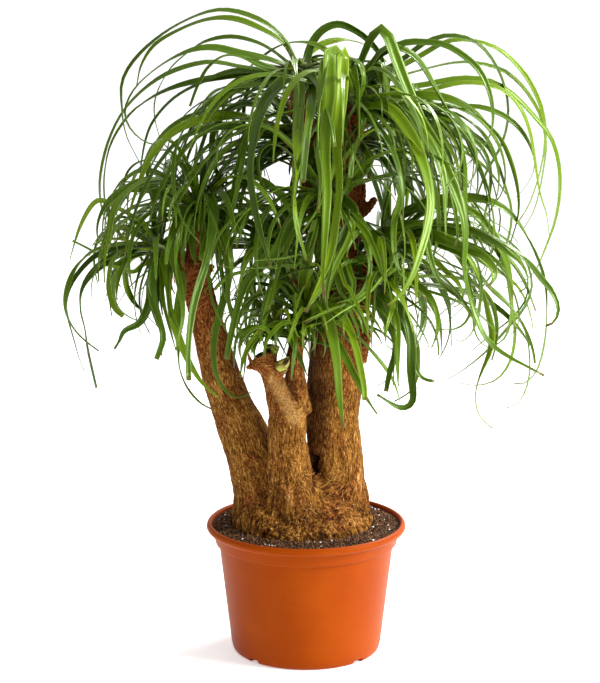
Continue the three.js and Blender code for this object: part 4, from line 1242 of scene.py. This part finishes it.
    ("left_low", 10, 5, "fine", (-187, 535), (-181, 500), (-184, 475), (-176, 448), (-164, 430)),
]
LEAF_STEPS = 32
POINTS_ACROSS = 5
HALF_WIDTH = (3.2, 6.8)  # of a grown leaf
SHOWN_BY_WIDTH = (5.5, 7.5, 9), (0.35, 0.2, 0.85)  # half widths, and how far those turn to the front
SHOWN_OVER = (-0.3, 0.4)  # shares of a leading leaf over which it turns so
YOUNG_WIDTH = 0.55  # of a grown leaf's
SHORT_LEAVES = {"width": 0.6, "up_to": 250}  # share of the width at no length, and mm
THICKNESS = 0.45
GOLDEN = 137.508  # degrees between one leaf and the next round a head
ENVELOPE = {"x": 340, "y": 316, "top": 872, "bottom": 292}
# As seen from the front, the other leaves stay under CROWN and above HEM, so that the leading ones
# draw the airy outside and the stems show: points across and up in the plane of the pot's axis.
# Limbs and light show through the WINDOWS, which those leaves pass by.
CROWN = [(-290, 540), (-250, 640), (-190, 705), (-110, 768), (0, 808), (90, 800), (170, 748), (240, 690),
         (290, 620), (315, 520)]
HEM = [(-290, 470), (-245, 455), (-205, 425), (-176, 425), (-164, 450), (-156, 492), (-118, 490),
       (-104, 430), (-60, 392), (-20, 388), (10, 405), (45, 405), (70, 430), (84, 400), (140, 400),
       (200, 425), (260, 405), (315, 380)]
WINDOWS = [(72, 613, 23), (-34, 648, 15), (-146, 522, 22), (26, 568, 8)]  # across, up, radius
STRAY = (0.12, 55)  # share of the leaves that hang below the hem, and how far
LEAF_SEED = 23
NOISE_SPAN = 1000  # how far apart the noise of two leaves may start
CLEAR_OF_STEMS = {"by": 4, "from": 0.15}  # mm, and the share of a leaf from which it has to be clear
TRIES = 40
SWAY = {"up": 18, "aside": 30, "waves_up": 2.2, "waves_aside": 1.8}  # degrees, and waves to a leaf
DEPTH_POWER = 0.8  # below 1, so that a leading leaf reaches its tip's depth early
SEEN_SPACING = 4
LEADING_ROOT = {"up": 12, "out": 0.5, "front": 0.3}  # mm up the bud, and shares of its radius
NEARER = 12  # mm that a leading leaf's tip comes nearer with each try
TWIST = {"waves": 2.4, "most": 2.2}  # waves to a leaf, and radians
FRESHEST, FRESHEST_OF_YOUNG_HEADS, AGES = 0.45, 0.15, 0.5  # of the leading leaves
BESIDE = {  # the leaves beside a leading one
    "most": 2,
    "apart": 60,  # mm that it goes sideways for each of them
    "length": (0.6, 0.98),  # shares of the leading one's
    "width": (0.5, 0.9),
    "lower": (7, 9),  # mean and spread, in degrees
    "behind": (20, 60),  # mean and spread, in mm
}
YOUNG_UNTIL = 0.14  # age, which goes from 0 to 1
RISE = {"young": 80, "lost": 92, "power": 0.8, "spread": 18}  # degrees that a leaf's root points up
FALL = {"young": (20, 70), "least": 52, "more": 80, "power": 1.3}  # degrees that its tip points down
# How far along a leaf its bend lies, as a share of its length, and how suddenly it comes.
BENT = {"crest": (0.6, 1.5), "sharp": (1.8, 3.5)}
KINKED = {"share": 0.09, "crest": (0.2, 0.5), "sharp": 9.0}
TURN_SPREAD, DRIFT = 30, 60  # degrees
LENGTH = {"least": 0.62, "chance": (0.75, 1.05), "young": 0.5}  # shares of a head's longest leaf
SHORTER_IN_FRONT = 0.45  # share of its length that a leaf lacks which grows straight to the front
SHRINK = 0.97  # of the length, each time a leaf is bent anew
ROOT_OF_OTHERS = {"up": 27, "lower": 20, "out": 0.5}  # mm up the bud, mm lower by age 1, share of radius
ROLL = (14, 50)  # degrees, at its root and more by its tip
CUT = {"share": 0.14, "from_age": 0.2}  # of the other leaves, whose tips are cut
FULLNESS = (1.5, 2.4)  # power by which a blade narrows to its tip
TAPER = {"early": 0.78, "power": 0.85, "late": 0.22, "late_power": 9, "cut": 0.6}  # shares of the width
LEAST_WIDTH = 0.2
CLASP = {"wider": 0.5, "until": 0.07}  # the foot that clasps the bud
DRY_TIP = {"until": 1.02, "earlier": 0.05, "before": 0.03, "after": 0.01}  # shares of the leaf
DRY_CUT = {"from": 0.98, "most": 0.6}
CUP = {"least": 0.5, "more_at_foot": 0.5, "until": 0.16, "flatter": 0.35}  # how deep its channel is


def blade_tree(name):
    """Geometry Nodes that skin each midrib, an edge chain, into a channelled blade."""
    tree = bpy.data.node_groups.new(name, "GeometryNodeTree")
    face = tree.interface
    face.new_socket("Geometry", in_out="OUTPUT", socket_type="NodeSocketGeometry")
    face.new_socket("Geometry", in_out="INPUT", socket_type="NodeSocketGeometry")
    for socket, kind in (("Points Across", "Int"), ("Cup", "Float"), ("Finish", "Material")):
        face.new_socket(socket, in_out="INPUT", socket_type="NodeSocket" + kind)
    given = add(tree, "NodeGroupInput").outputs
    place = add(tree, "GeometryNodeInputPosition")
    spine = add(
        tree,
        "GeometryNodeStoreNamedAttribute",
        {"Geometry": given["Geometry"], "Name": "spine", "Value": place.outputs[0]},
        data_type="FLOAT_VECTOR",
    )
    rail = add(tree, "GeometryNodeMeshToCurve", {0: spine.outputs[0]})
    line = add(tree, "GeometryNodeCurvePrimitiveLine", {"Start": (-1, 0, 0), "End": (1, 0, 0)})
    section = add(
        tree, "GeometryNodeResampleCurve", {"Curve": line.outputs[0], "Count": given["Points Across"]}
    )
    section_place = add(tree, "GeometryNodeInputPosition")
    section_x = add(tree, "ShaderNodeSeparateXYZ", {0: section_place.outputs[0]})
    marked = add(
        tree,
        "GeometryNodeStoreNamedAttribute",
        {"Geometry": section.outputs[0], "Name": "across", "Value": section_x.outputs[0]},
    )
    sheet = add(
        tree, "GeometryNodeCurveToMesh", {"Curve": rail.outputs[0], "Profile Curve": marked.outputs[0]}
    )
    fields = {
        name: add(tree, "GeometryNodeInputNamedAttribute", {"Name": name}, data_type=kind).outputs[0]
        for kind, names in (
            ("FLOAT", ("across", "half_width", "cup")),
            ("FLOAT_VECTOR", ("side", "face", "spine")),
        )
        for name in names
    }
    out = add(
        tree, "ShaderNodeMath", {0: fields["across"], 1: fields["half_width"]}, operation="MULTIPLY"
    )
    lift = out
    for operation, factor in (
        ("MULTIPLY", fields["across"]),
        ("ABSOLUTE", 0.0),
        ("MULTIPLY", fields["cup"]),
        ("MULTIPLY", given["Cup"]),
    ):
        lift = add(tree, "ShaderNodeMath", {0: lift.outputs[0], 1: factor}, operation=operation)
    spot = fields["spine"]
    for way, amount in ((fields["side"], out), (fields["face"], lift)):
        step = add(tree, "ShaderNodeVectorMath", {0: way, "Scale": amount.outputs[0]}, operation="SCALE")
        spot = add(tree, "ShaderNodeVectorMath", {0: spot, 1: step.outputs[0]}, operation="ADD").outputs[0]
    shaped = add(tree, "GeometryNodeSetPosition", {"Geometry": sheet.outputs[0], "Position": spot})
    smooth = add(tree, "GeometryNodeSetShadeSmooth", {0: shaped.outputs[0]})
    real = add(tree, "GeometryNodeRealizeInstances", {0: smooth.outputs[0]})
    finished = add(tree, "GeometryNodeSetMaterial", {0: real.outputs[0], "Material": given["Finish"]})
    add(tree, "NodeGroupOutput", {0: finished.outputs[0]})
    return tree


def head_frame(key):
    """Where a head's bud stands, which way it points, and its radius."""
    *_, before, end = LIMBS[key]
    foot, earlier = np.array(end[:3], float), np.array(before[:3], float)
    axis = (foot - earlier) / np.linalg.norm(foot - earlier)
    return foot + axis * SEAT, axis, end[3]


stem_stations = np.vstack([paths["stem_" + key] for key in STEMS])
leaf_share = np.linspace(0, 1, LEAF_STEPS + 1)
eye = np.array(EYE) / MM


def between(limits, rng):
    """A random value between two limits."""
    return limits[0] + (limits[1] - limits[0]) * rng.random()


def clear_of_stems(places):
    """Whether a leaf, once it has left its head, keeps clear of the stems."""
    far = places[leaf_share > CLEAR_OF_STEMS["from"]]
    away = np.linalg.norm(far[:, None] - stem_stations[None, :, :3], axis=2) - stem_stations[None, :, 3]
    return away.min() > CLEAR_OF_STEMS["by"]


def inside_envelope(places):
    """Whether a leaf stays within the plant's own width, depth and height."""
    x, y, z = places.T
    across = np.abs(x).max() < ENVELOPE["x"] and np.abs(y).max() < ENVELOPE["y"]
    return across and z.max() < ENVELOPE["top"] and z.min() > ENVELOPE["bottom"]


def within_outline(places, stray):
    """Whether a leaf, seen from the front, stays under the crown's line and above the hem."""
    near = eye[1] / (eye[1] - places[:, 1])
    across, up = places[:, 0] * near, eye[2] + (places[:, 2] - eye[2]) * near
    low = np.interp(across, *zip(*HEM)) - (STRAY[1] if stray else 0)
    high = np.interp(across, *zip(*CROWN))
    sides = across.min() > HEM[0][0] and across.max() < HEM[-1][0]
    shut = any(np.hypot(across - x, up - z).min() < radius for x, z, radius in WINDOWS)
    return sides and (up > low).all() and (up < high).all() and not shut


def from_up(direction, axis):
    """A direction given about +Z, turned with +Z onto the axis."""
    return np.array(Vector((0, 0, 1)).rotation_difference(Vector(axis)) @ Vector(direction))


def bent_midrib(root, turn, rise, fall, length, crest, sharp, drift, seed):
    """A midrib that leaves its root at a rise and bends to a fall, in degrees, swaying a little."""
    bent = leaf_share**sharp * (1 + crest**sharp) / (leaf_share**sharp + crest**sharp)
    sway, swing = (
        np.array([noise.noise(Vector((seed, waves * s, start))) for s in leaf_share]) * leaf_share**0.5
        for waves, start in ((SWAY["waves_up"], 0), (SWAY["waves_aside"], 9))
    )
    slope = np.radians(rise + (fall - rise) * bent + SWAY["up"] * sway)
    turned_to = np.radians(turn + drift * leaf_share + SWAY["aside"] * swing)
    level = np.cos(slope)
    ahead = np.column_stack([level * np.cos(turned_to), level * np.sin(turned_to), np.sin(slope)])
    return root + np.cumsum(np.vstack([np.zeros(3), ahead[1:]]) * length / LEAF_STEPS, axis=0)


def seen_midrib(root, tip_depth, seen):
    """A midrib through places given as seen from the front, which reaches tip_depth at its tip."""
    flat = np.array([(across, 0, up) for across, up in seen])
    from_root = np.cumsum(np.linalg.norm(np.diff(np.vstack([root, flat]), axis=0), axis=1))
    depths = root[1] + (tip_depth - root[1]) * (from_root / from_root[-1]) ** DEPTH_POWER
    through = eye + (flat - eye) * (1 - depths / eye[1])[:, None]
    run = spline([root, *through], SEEN_SPACING)
    gone = np.concatenate([[0], np.cumsum(np.linalg.norm(np.diff(run, axis=0), axis=1))])
    return np.column_stack([np.interp(leaf_share * gone[-1], gone, column) for column in run.T])


def carried_frame(places):
    """The width's direction and the upper face's at each place, carried along without twisting."""
    ahead = np.gradient(places, axis=0)
    ahead /= np.linalg.norm(ahead, axis=1)[:, None]
    side = np.cross((0, 0, 1), ahead[0])
    sides = []
    for way in ahead:
        side = side - way * (side @ way)
        side /= np.linalg.norm(side)
        sides.append(side)
    sides = np.array(sides)
    return sides, np.cross(ahead, sides)


def to_the_front(places, sides, faces):
    """The roll, in radians, that turns a leaf's upper face to the front at each of its places."""
    view = eye - places
    return np.unwrap(np.arctan2(-np.sum(sides * view, axis=1), np.sum(faces * view, axis=1)))


def dressed(places, roll, half, tip, age, rng):
    """The rows of one leaf: its midrib, how wide and which way it lies there, and its colouring."""
    sides, faces = carried_frame(places)
    roll = roll[:, None]
    tapered = TAPER["early"] * (1 - leaf_share ** between(FULLNESS, rng)) ** TAPER["power"]
    tapered += TAPER["late"] * (1 - leaf_share ** TAPER["late_power"])
    widths = half * (tapered if tip == "fine" else 1 - TAPER["cut"] * leaf_share)
    clasp = 1 + CLASP["wider"] * (1 - smoothstep(leaf_share, 0.0, CLASP["until"]))
    spent = DRY_TIP["until"] - DRY_TIP["earlier"] * rng.random()
    dry = smoothstep(leaf_share, spent - DRY_TIP["before"], spent + DRY_TIP["after"])
    if tip == "cut":
        dry = DRY_CUT["most"] * smoothstep(leaf_share, DRY_CUT["from"], 1.0)
    cup = CUP["least"] + CUP["more_at_foot"] * (1 - smoothstep(leaf_share, 0.0, CUP["until"]))
    count = len(places)
    return {
        "places": places,
        "half_width": np.maximum(widths * clasp, LEAST_WIDTH * half),
        "side": np.cos(roll) * sides + np.sin(roll) * faces,
        "face": np.cos(roll) * faces - np.sin(roll) * sides,
        "share": leaf_share,
        "age": np.full(count, age),
        "shade": np.full(count, rng.random()),
        "dry": dry,
        "cup": cup - CUP["flatter"] * rng.random() * leaf_share,
    }


def leading_leaf(key, tip_depth, half, tip, seen, rng):
    """A leading leaf, moved nearer to the viewer until it is clear of the stems."""
    foot, axis, radius = head_frame(key)
    out = np.array([seen[0][0] - foot[0], -LEADING_ROOT["front"] * radius, seen[0][1] - foot[2]])
    out -= axis * (out @ axis)
    out *= LEADING_ROOT["out"] * radius / max(np.linalg.norm(out), 1)
    root = foot + axis * LEADING_ROOT["up"] + out
    for attempt in range(TRIES):
        places = seen_midrib(root, tip_depth - NEARER * attempt, seen)
        if clear_of_stems(places):
            break
    turn = to_the_front(places, *carried_frame(places))
    shown = np.interp(half, *SHOWN_BY_WIDTH) * smoothstep(leaf_share, *SHOWN_OVER)
    seed = NOISE_SPAN * rng.random()
    twist = np.array([noise.noise(Vector((seed, TWIST["waves"] * s, 3))) for s in leaf_share])
    twist *= np.sin(math.pi * leaf_share)
    roll = turn * shown + (TWIST["most"] - shown) * twist
    freshest = FRESHEST_OF_YOUNG_HEADS if HEADS[key][2] < 1 else FRESHEST
    return dressed(places, roll, half, tip, freshest + AGES * rng.random(), rng)


def leaf_beside(row, rng):
    """A leaf that grows beside a leading one and bends much as it does, or None if there's no room."""
    key, tip_depth, half, tip, *seen = row
    foot = np.array(head_frame(key)[0])[[0, 2]]
    seen = np.array(seen, float) - foot
    lower = -math.copysign(1, seen[-1][0])
    for _ in range(TRIES):
        size = between(BESIDE["length"], rng)
        turn = math.radians(lower * rng.normal(*BESIDE["lower"]))
        turned = seen @ [[math.cos(turn), math.sin(turn)], [-math.sin(turn), math.cos(turn)]]
        depth = tip_depth + rng.normal(*BESIDE["behind"])
        width = half * between(BESIDE["width"], rng)
        leaf = leading_leaf(key, depth, width, tip, foot + size * turned, rng)
        places = leaf["places"]
        if inside_envelope(places) and clear_of_stems(places) and within_outline(places, False):
            return leaf
    return None


def other_leaf(key, i, rng):
    """One of a head's other leaves, or None: young ones stand up, old ones leave low and hang."""
    others, reach, oldest, dark = HEADS[key]
    foot, axis, radius = head_frame(key)
    age = oldest * (i + 0.5) / others
    stray = rng.random() < STRAY[0]
    young = age < YOUNG_UNTIL
    grown_length = LENGTH["least"] + (1 - LENGTH["least"]) * math.sin(math.pi * (0.25 + 0.6 * age))
    for attempt in range(TRIES):
        rise = RISE["young"] - RISE["lost"] * age ** RISE["power"] + RISE["spread"] * (rng.random() - 0.5)
        turn = math.radians(GOLDEN * i + TURN_SPREAD * rng.random())
        level = math.cos(math.radians(rise))
        direction = (level * math.cos(turn), level * math.sin(turn), math.sin(math.radians(rise)))
        out = from_up(direction, axis)
        kinked = rng.random() < KINKED["share"] and not young
        length = reach * grown_length * between(LENGTH["chance"], rng)
        length *= (LENGTH["young"] if young else 1) * SHRINK**attempt
        length *= 1 - SHORTER_IN_FRONT * max(0, -out[1])
        lift = math.degrees(math.asin(out[2]))
        outward = out - axis * (out @ axis)
        outward /= max(np.linalg.norm(outward), 1e-6)
        up_the_bud = ROOT_OF_OTHERS["up"] - ROOT_OF_OTHERS["lower"] * age
        if young:
            fall = lift - between(FALL["young"], rng)
        else:
            fall = -FALL["least"] - FALL["more"] * rng.random() ** FALL["power"]
        places = bent_midrib(
            foot + axis * up_the_bud + outward * ROOT_OF_OTHERS["out"] * radius,
            math.degrees(math.atan2(out[1], out[0])),
            lift,
            fall,
            length,
            between((KINKED if kinked else BENT)["crest"], rng),
            KINKED["sharp"] if kinked else between(BENT["sharp"], rng),
            DRIFT * (rng.random() - 0.5),
            NOISE_SPAN * rng.random(),
        )
        if inside_envelope(places) and clear_of_stems(places) and within_outline(places, stray):
            break
    else:
        return None
    by_length = SHORT_LEAVES["width"] + (1 - SHORT_LEAVES["width"]) * length / SHORT_LEAVES["up_to"]
    half = between(HALF_WIDTH, rng) * min(1, by_length)
    half *= YOUNG_WIDTH + (1 - YOUNG_WIDTH) * smoothstep(age, 0.0, 0.3)
    roll = np.radians(rng.normal(0, ROLL[0]) + rng.normal(0, ROLL[1]) * leaf_share**1.2)
    tip = "cut" if rng.random() < CUT["share"] and age > CUT["from_age"] else "fine"
    # The head's painted shade darkens the leaf's tone as age does.
    return dressed(places, roll, half, tip, age + dark * (1 - age), rng)


def blades(name, leaves, finish):
    """One piece of all the leaves given, skinned and thickened."""
    places = np.vstack([leaf["places"] for leaf in leaves])
    count = LEAF_STEPS + 1
    starts = range(0, len(places), count)
    edges = [(start + k, start + k + 1) for start in starts for k in range(LEAF_STEPS)]
    piece = new_piece(name, places, edges=edges)
    for field in ("half_width", "share", "age", "shade", "dry", "cup", "side", "face"):
        values = np.concatenate([leaf[field] for leaf in leaves]) * (MM if field == "half_width" else 1)
        kind, slot = ("FLOAT", "value") if values.ndim == 1 else ("FLOAT_VECTOR", "vector")
        attribute = piece.data.attributes.new(field, kind, "POINT")
        attribute.data.foreach_set(slot, np.ascontiguousarray(values, np.float32).ravel())
    run_tree(piece, skinning, **{"Points Across": POINTS_ACROSS, "Cup": 1.0, "Finish": finish})
    shell = piece.modifiers.new("shell", "SOLIDIFY")
    shell.thickness = THICKNESS * MM
    shell.offset = 0
    settle(piece)
    return piece


# Living leaf: a tough, waxy strap, satin rather than shiny, ribbed by parallel veins. Light from
# behind glows yellow-green through it; its base is pale, its dried tip straw and brown.
leaf_green, tree, shader = new_material("strap_leaf", Roughness=0.36)
shader.inputs["Specular IOR Level"].default_value = 0.52
shader.inputs["Specular Tint"].default_value = linear("#dcffb0")  # the wax lets its green through
VEINS = (5.5, 9)  # noise cells over half a blade and along it, coarser than real veins, to show
VEIN_HEIGHT = 0.4
BLOOM = 33.33  # mm across a duller patch of wax
LEAF_TONE = {"age": 0.45, "chance": 0.42, "veins": 0.3}
THROUGH = 0.09  # share of the light that passes through a blade
across, share, age, shade, dry = (
    add(tree, "ShaderNodeAttribute", attribute_name=name).outputs["Fac"]
    for name in ("across", "share", "age", "shade", "dry")
)
veins_at = add(tree, "ShaderNodeCombineXYZ", {0: across, 1: share, 2: shade})
stretch = add(
    tree, "ShaderNodeVectorMath", {0: veins_at.outputs[0], 1: (*VEINS, 97)}, operation="MULTIPLY"
)
veins = add(tree, "ShaderNodeTexNoise", {"Vector": stretch.outputs[0], "Scale": 1.0, "Detail": 2.0})
coords = add(tree, "ShaderNodeTexCoord")
bloom = add(
    tree,
    "ShaderNodeTexNoise",
    {"Vector": coords.outputs["Object"], "Scale": 1 / (BLOOM * MM), "Detail": 3.0},
)
# Tone from young, 0, to old and dark, 1: by the leaf's age, its own chance and its veins.
tone = 0.0
for part, weight in (
    (age, LEAF_TONE["age"]),
    (shade, LEAF_TONE["chance"]),
    (veins.outputs["Fac"], LEAF_TONE["veins"]),
):
    tone = add(tree, "ShaderNodeMath", {0: part, 1: weight, 2: tone}, operation="MULTIPLY_ADD").outputs[0]
greens = add(
    tree,
    "ShaderNodeValToRGB",
    {0: tone},
    [(0.12, "#a8b81c"), (0.3, "#80990e"), (0.5, "#5d7906"), (0.75, "#435e04"), (1.0, "#2c4203")],
)
pale_base = add(
    tree, "ShaderNodeMapRange", {"Value": share, "From Max": 0.1, "To Min": 0.75, "To Max": 0.0}
)
margin = add(tree, "ShaderNodeMath", {0: across}, operation="ABSOLUTE")
margin = add(tree, "ShaderNodeMapRange", {"Value": margin.outputs[0], "From Min": 0.82, "To Max": 0.45})
straw = add(tree, "ShaderNodeValToRGB", {0: veins.outputs["Fac"]}, [(0.3, "#3b2a14"), (0.7, "#80642f")])
leaf_tone = greens.outputs["Color"]
for over_share, over in (
    (pale_base.outputs[0], linear("#cfd8a4")),
    (margin.outputs[0], linear("#8da64a")),
    (dry, straw.outputs["Color"]),
):
    laid_over = {0: over_share, 6: leaf_tone, 7: over}
    leaf_tone = add(tree, "ShaderNodeMix", laid_over, data_type="RGBA").outputs[2]
tree.links.new(leaf_tone, shader.inputs["Base Color"])
wax = add(
    tree,
    "ShaderNodeMapRange",
    {"Value": bloom.outputs["Fac"], "From Min": 0.3, "From Max": 0.7, "To Min": 0.25, "To Max": 0.37},
)
tree.links.new(wax.outputs[0], shader.inputs["Roughness"])
ribs = add(
    tree,
    "ShaderNodeBump",
    {"Strength": 0.35, "Distance": VEIN_HEIGHT * MM, "Height": veins.outputs["Fac"]},
)
tree.links.new(ribs.outputs[0], shader.inputs["Normal"])
glow_tone = add(
    tree, "ShaderNodeMix", {0: 0.5, 6: leaf_tone, 7: linear("#9fc02f")}, data_type="RGBA"
)
glow = add(tree, "ShaderNodeBsdfTranslucent", {"Color": glow_tone.outputs[2]})
lit = add(tree, "ShaderNodeMixShader", {0: THROUGH, 1: shader.outputs[0], 2: glow.outputs[0]})
tree.links.new(lit.outputs[0], tree.nodes["Material Output"].inputs["Surface"])

skinning = blade_tree("channelled_blades")
rng = np.random.default_rng(LEAF_SEED)
leaves = {key: [] for key in HEADS}
for key, tip_depth, half, tip, *seen in LEADING:
    leaves[key].append(leading_leaf(key, tip_depth, half, tip, seen, rng))
for row in LEADING:
    count = min(BESIDE["most"], round(abs(row[-1][0] - row[4][0]) / BESIDE["apart"]))
    leaves[row[0]] += [leaf for leaf in (leaf_beside(row, rng) for _ in range(count)) if leaf]
for key, (others, *_) in HEADS.items():
    leaves[key] += [leaf for leaf in (other_leaf(key, i, rng) for i in range(others)) if leaf]
for key, grown in leaves.items():
    tuft = blades("strap_leaves_" + key, grown, leaf_green)
    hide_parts("leaves_" + key)
    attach(tuft, "root")

# ---------------------------------------------------------------- dry remains
# Under each old head hang the papery stubs of leaves that have dried and broken off, and the bark
# frays into loose curly fibres where the base wrinkles in front.
STUBS_BY_HEAD = 18
STUB = {
    "length": (14, 46),
    "half_width": (1.2, 3.2),
    "below": (-4, 30),  # mm down the limb from its head
    "out": 0.92,  # share of the limb's radius
    "up": 0.5,
    "fall": (60, 120),  # degrees
    "crest": (0.1, 0.6),
    "sharp": 2.0,
    "drift": 160,  # degrees
    "roll": (30, 150),  # degrees, at its root and more by its tip
}
FRAYS = 70
FRAY = {"length": (7, 17), "half_width": 0.24, "curl": 1.1, "lift": 0.35, "sunk": 0.5}
FRAYED = {"wrinkled_over": 0.15, "facing": -0.2}  # the bark that frays: how wrinkled, and to the front


def dry_stub(key, i, rng):
    """The torn base of an old leaf, which leaves the limb below its head and curls down."""
    foot, axis, radius = head_frame(key)
    turn = math.radians(GOLDEN * i)
    outward = from_up((math.cos(turn), math.sin(turn), 0), axis)
    root = foot - axis * between(STUB["below"], rng) + outward * STUB["out"] * radius
    out = outward + STUB["up"] * axis
    places = bent_midrib(
        root,
        math.degrees(math.atan2(out[1], out[0])),
        math.degrees(math.asin(out[2] / np.linalg.norm(out))),
        -between(STUB["fall"], rng),
        between(STUB["length"], rng),
        between(STUB["crest"], rng),
        STUB["sharp"],
        STUB["drift"] * (rng.random() - 0.5),
        NOISE_SPAN * rng.random(),
    )
    roll = np.radians(rng.normal(0, STUB["roll"][0]) + rng.normal(0, STUB["roll"][1]) * leaf_share)
    return dressed(places, roll, between(STUB["half_width"], rng), "fine", 1.0, rng)


def fray(spot, way, rng):
    """A loose fibre that curls out of the bark at a spot."""
    length = between(FRAY["length"], rng)
    aside = np.cross(way, rng.normal(size=3))
    aside /= np.linalg.norm(aside)
    lie = way * FRAY["lift"] + aside
    phase = 6.3 * (rng.random() + leaf_share * (0.5 + rng.random()))
    curl = FRAY["curl"] * smoothstep(leaf_share, 0, 0.4)
    places = spot - way * FRAY["sunk"] + np.outer(leaf_share * length, lie)
    places += np.outer(curl * np.cos(phase), way) + np.outer(curl * np.sin(phase), np.cross(way, aside))
    return dressed(places, 0 * leaf_share, FRAY["half_width"], "fine", 1.0, rng)


# Dead leaf and loose bast: papery and matt, straw with brown streaks along it.
dead_leaf, tree, shader = new_material("dried_leaf_fibre", Roughness=0.8)
shader.inputs["Specular IOR Level"].default_value = 0.15
STREAKS = (4, 5)  # noise cells over half a stub and along it
STREAK_HEIGHT = 0.5
across, share, shade = (
    add(tree, "ShaderNodeAttribute", attribute_name=name).outputs["Fac"]
    for name in ("across", "share", "shade")
)
place = add(tree, "ShaderNodeCombineXYZ", {0: across, 1: share, 2: shade})
stretch = add(
    tree, "ShaderNodeVectorMath", {0: place.outputs[0], 1: (*STREAKS, 61)}, operation="MULTIPLY"
)
streaks = add(tree, "ShaderNodeTexNoise", {"Vector": stretch.outputs[0], "Scale": 1.0, "Detail": 3.0})
tone = add(
    tree, "ShaderNodeMath", {0: shade, 1: 0.35, 2: streaks.outputs["Fac"]}, operation="MULTIPLY_ADD"
)
straw = add(
    tree,
    "ShaderNodeValToRGB",
    {0: tone.outputs[0]},
    [(0.4, "#4b230f"), (0.6, "#8a4f22"), (0.75, "#b98648"), (0.95, "#e0bd85")],
)
tree.links.new(straw.outputs["Color"], shader.inputs["Base Color"])
crinkle = add(
    tree,
    "ShaderNodeBump",
    {"Strength": 0.5, "Distance": STREAK_HEIGHT * MM, "Height": streaks.outputs["Fac"]},
)
tree.links.new(crinkle.outputs[0], shader.inputs["Normal"])

stubs = [dry_stub(key, i, rng) for key in HEADS if HEADS[key][2] == 1 for i in range(STUBS_BY_HEAD)]
frayed = (wrinkled > FRAYED["wrinkled_over"]) & (facing[:, 1] < FRAYED["facing"])
frays = [fray(spots[k], facing[k], rng) for k in rng.choice(np.flatnonzero(frayed), FRAYS)]
for name, remains in (("dry_leaf_stubs", stubs), ("frayed_bark", frays)):
    piece = blades(name, remains, dead_leaf)
    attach(piece, "root")

# ---------------------------------------------------------------- side bud
# A new shoot breaks from the side of the sawn stem: a plump yellow-green bud wrapped in brown,
# pointed scales, which overlap round it.
BUD = {"foot": (-36, -58, 401), "tip": (-22, -68, 420), "radius": 8.5, "scales": 7}
SCALE = {"spread": (82, 57), "girth": (1.12, 0.77), "length": (0.62, 1.04)}  # outermost and innermost
SCALE_STEPS = 8
SCALE_THICKNESS = 0.7
BUD_SPOTS = {"size": 2.381, "height": 0.3}

# Bud scale: waxy young tissue, yellow-green at its foot and dried brown along its edge and point.
bud_scale, tree, shader = new_material("bud_scale", Roughness=0.45)
along, shade = (
    add(tree, "ShaderNodeAttribute", attribute_name=name).outputs["Fac"] for name in ("share", "shade")
)
coords = add(tree, "ShaderNodeTexCoord")
dappled = add(
    tree,
    "ShaderNodeTexNoise",
    {"Vector": coords.outputs["Object"], "Scale": 1 / (BUD_SPOTS["size"] * MM), "Detail": 3.0},
)
dried = shade
for part, weight in ((along, 0.65), (dappled.outputs["Fac"], 0.4)):
    dried = add(tree, "ShaderNodeMath", {0: part, 1: weight, 2: dried}, operation="MULTIPLY_ADD").outputs[0]
tone = add(
    tree,
    "ShaderNodeValToRGB",
    {0: dried},
    [(0.45, "#c6c24a"), (0.75, "#a3a834"), (0.9, "#8a6a2a"), (1.0, "#4c2a14")],
)
tree.links.new(tone.outputs["Color"], shader.inputs["Base Color"])
dimpled = add(
    tree,
    "ShaderNodeBump",
    {"Strength": 0.4, "Distance": BUD_SPOTS["height"] * MM, "Height": dappled.outputs["Fac"]},
)
tree.links.new(dimpled.outputs[0], shader.inputs["Normal"])

bud_foot, bud_tip = np.array(BUD["foot"], float), np.array(BUD["tip"], float)
bud_length = np.linalg.norm(bud_tip - bud_foot)
bud_axis = (bud_tip - bud_foot) / bud_length
count = SCALE_STEPS + 1
bud_points, bud_faces, bud_share, bud_shade = [], [], [], []
for i in range(BUD["scales"]):
    inner = i / (BUD["scales"] - 1)  # 0 for the outermost scale and 1 for the innermost
    spread, girth, tall = (ends[0] + (ends[1] - ends[0]) * inner for ends in SCALE.values())
    start = len(bud_points)
    for u in np.linspace(0, 1, count):
        plumpness = math.sin(math.pi * (0.18 + 0.82 * u * 0.98)) ** 0.7  # it closes at the point
        reach = BUD["radius"] * girth * plumpness
        width = math.radians(spread) * (1 - u**2.5)
        for v in np.linspace(-1, 1, count):
            angle = math.radians(GOLDEN * i) + v * width
            way = from_up((math.cos(angle), math.sin(angle), 0), bud_axis)
            bud_points.append(bud_foot + bud_axis * bud_length * u * tall + way * reach)
            bud_share.append(max(u, 0.8 * abs(v)))
            bud_shade.append(0.35 * (1 - inner))
    for row in range(SCALE_STEPS):
        for k in range(SCALE_STEPS):
            corner = start + row * count + k
            bud_faces.append((corner, corner + 1, corner + count + 1, corner + count))
side_bud = new_piece("side_bud", bud_points, bud_faces, material=bud_scale)
for name, values in (("share", bud_share), ("shade", bud_shade)):
    attribute = side_bud.data.attributes.new(name, "FLOAT", "POINT")
    attribute.data.foreach_set("value", np.array(values, np.float32))
shell = side_bud.modifiers.new("shell", "SOLIDIFY")
shell.thickness = SCALE_THICKNESS * MM
settle(side_bud)
smooth_faces(side_bud)
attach(side_bud, "root")
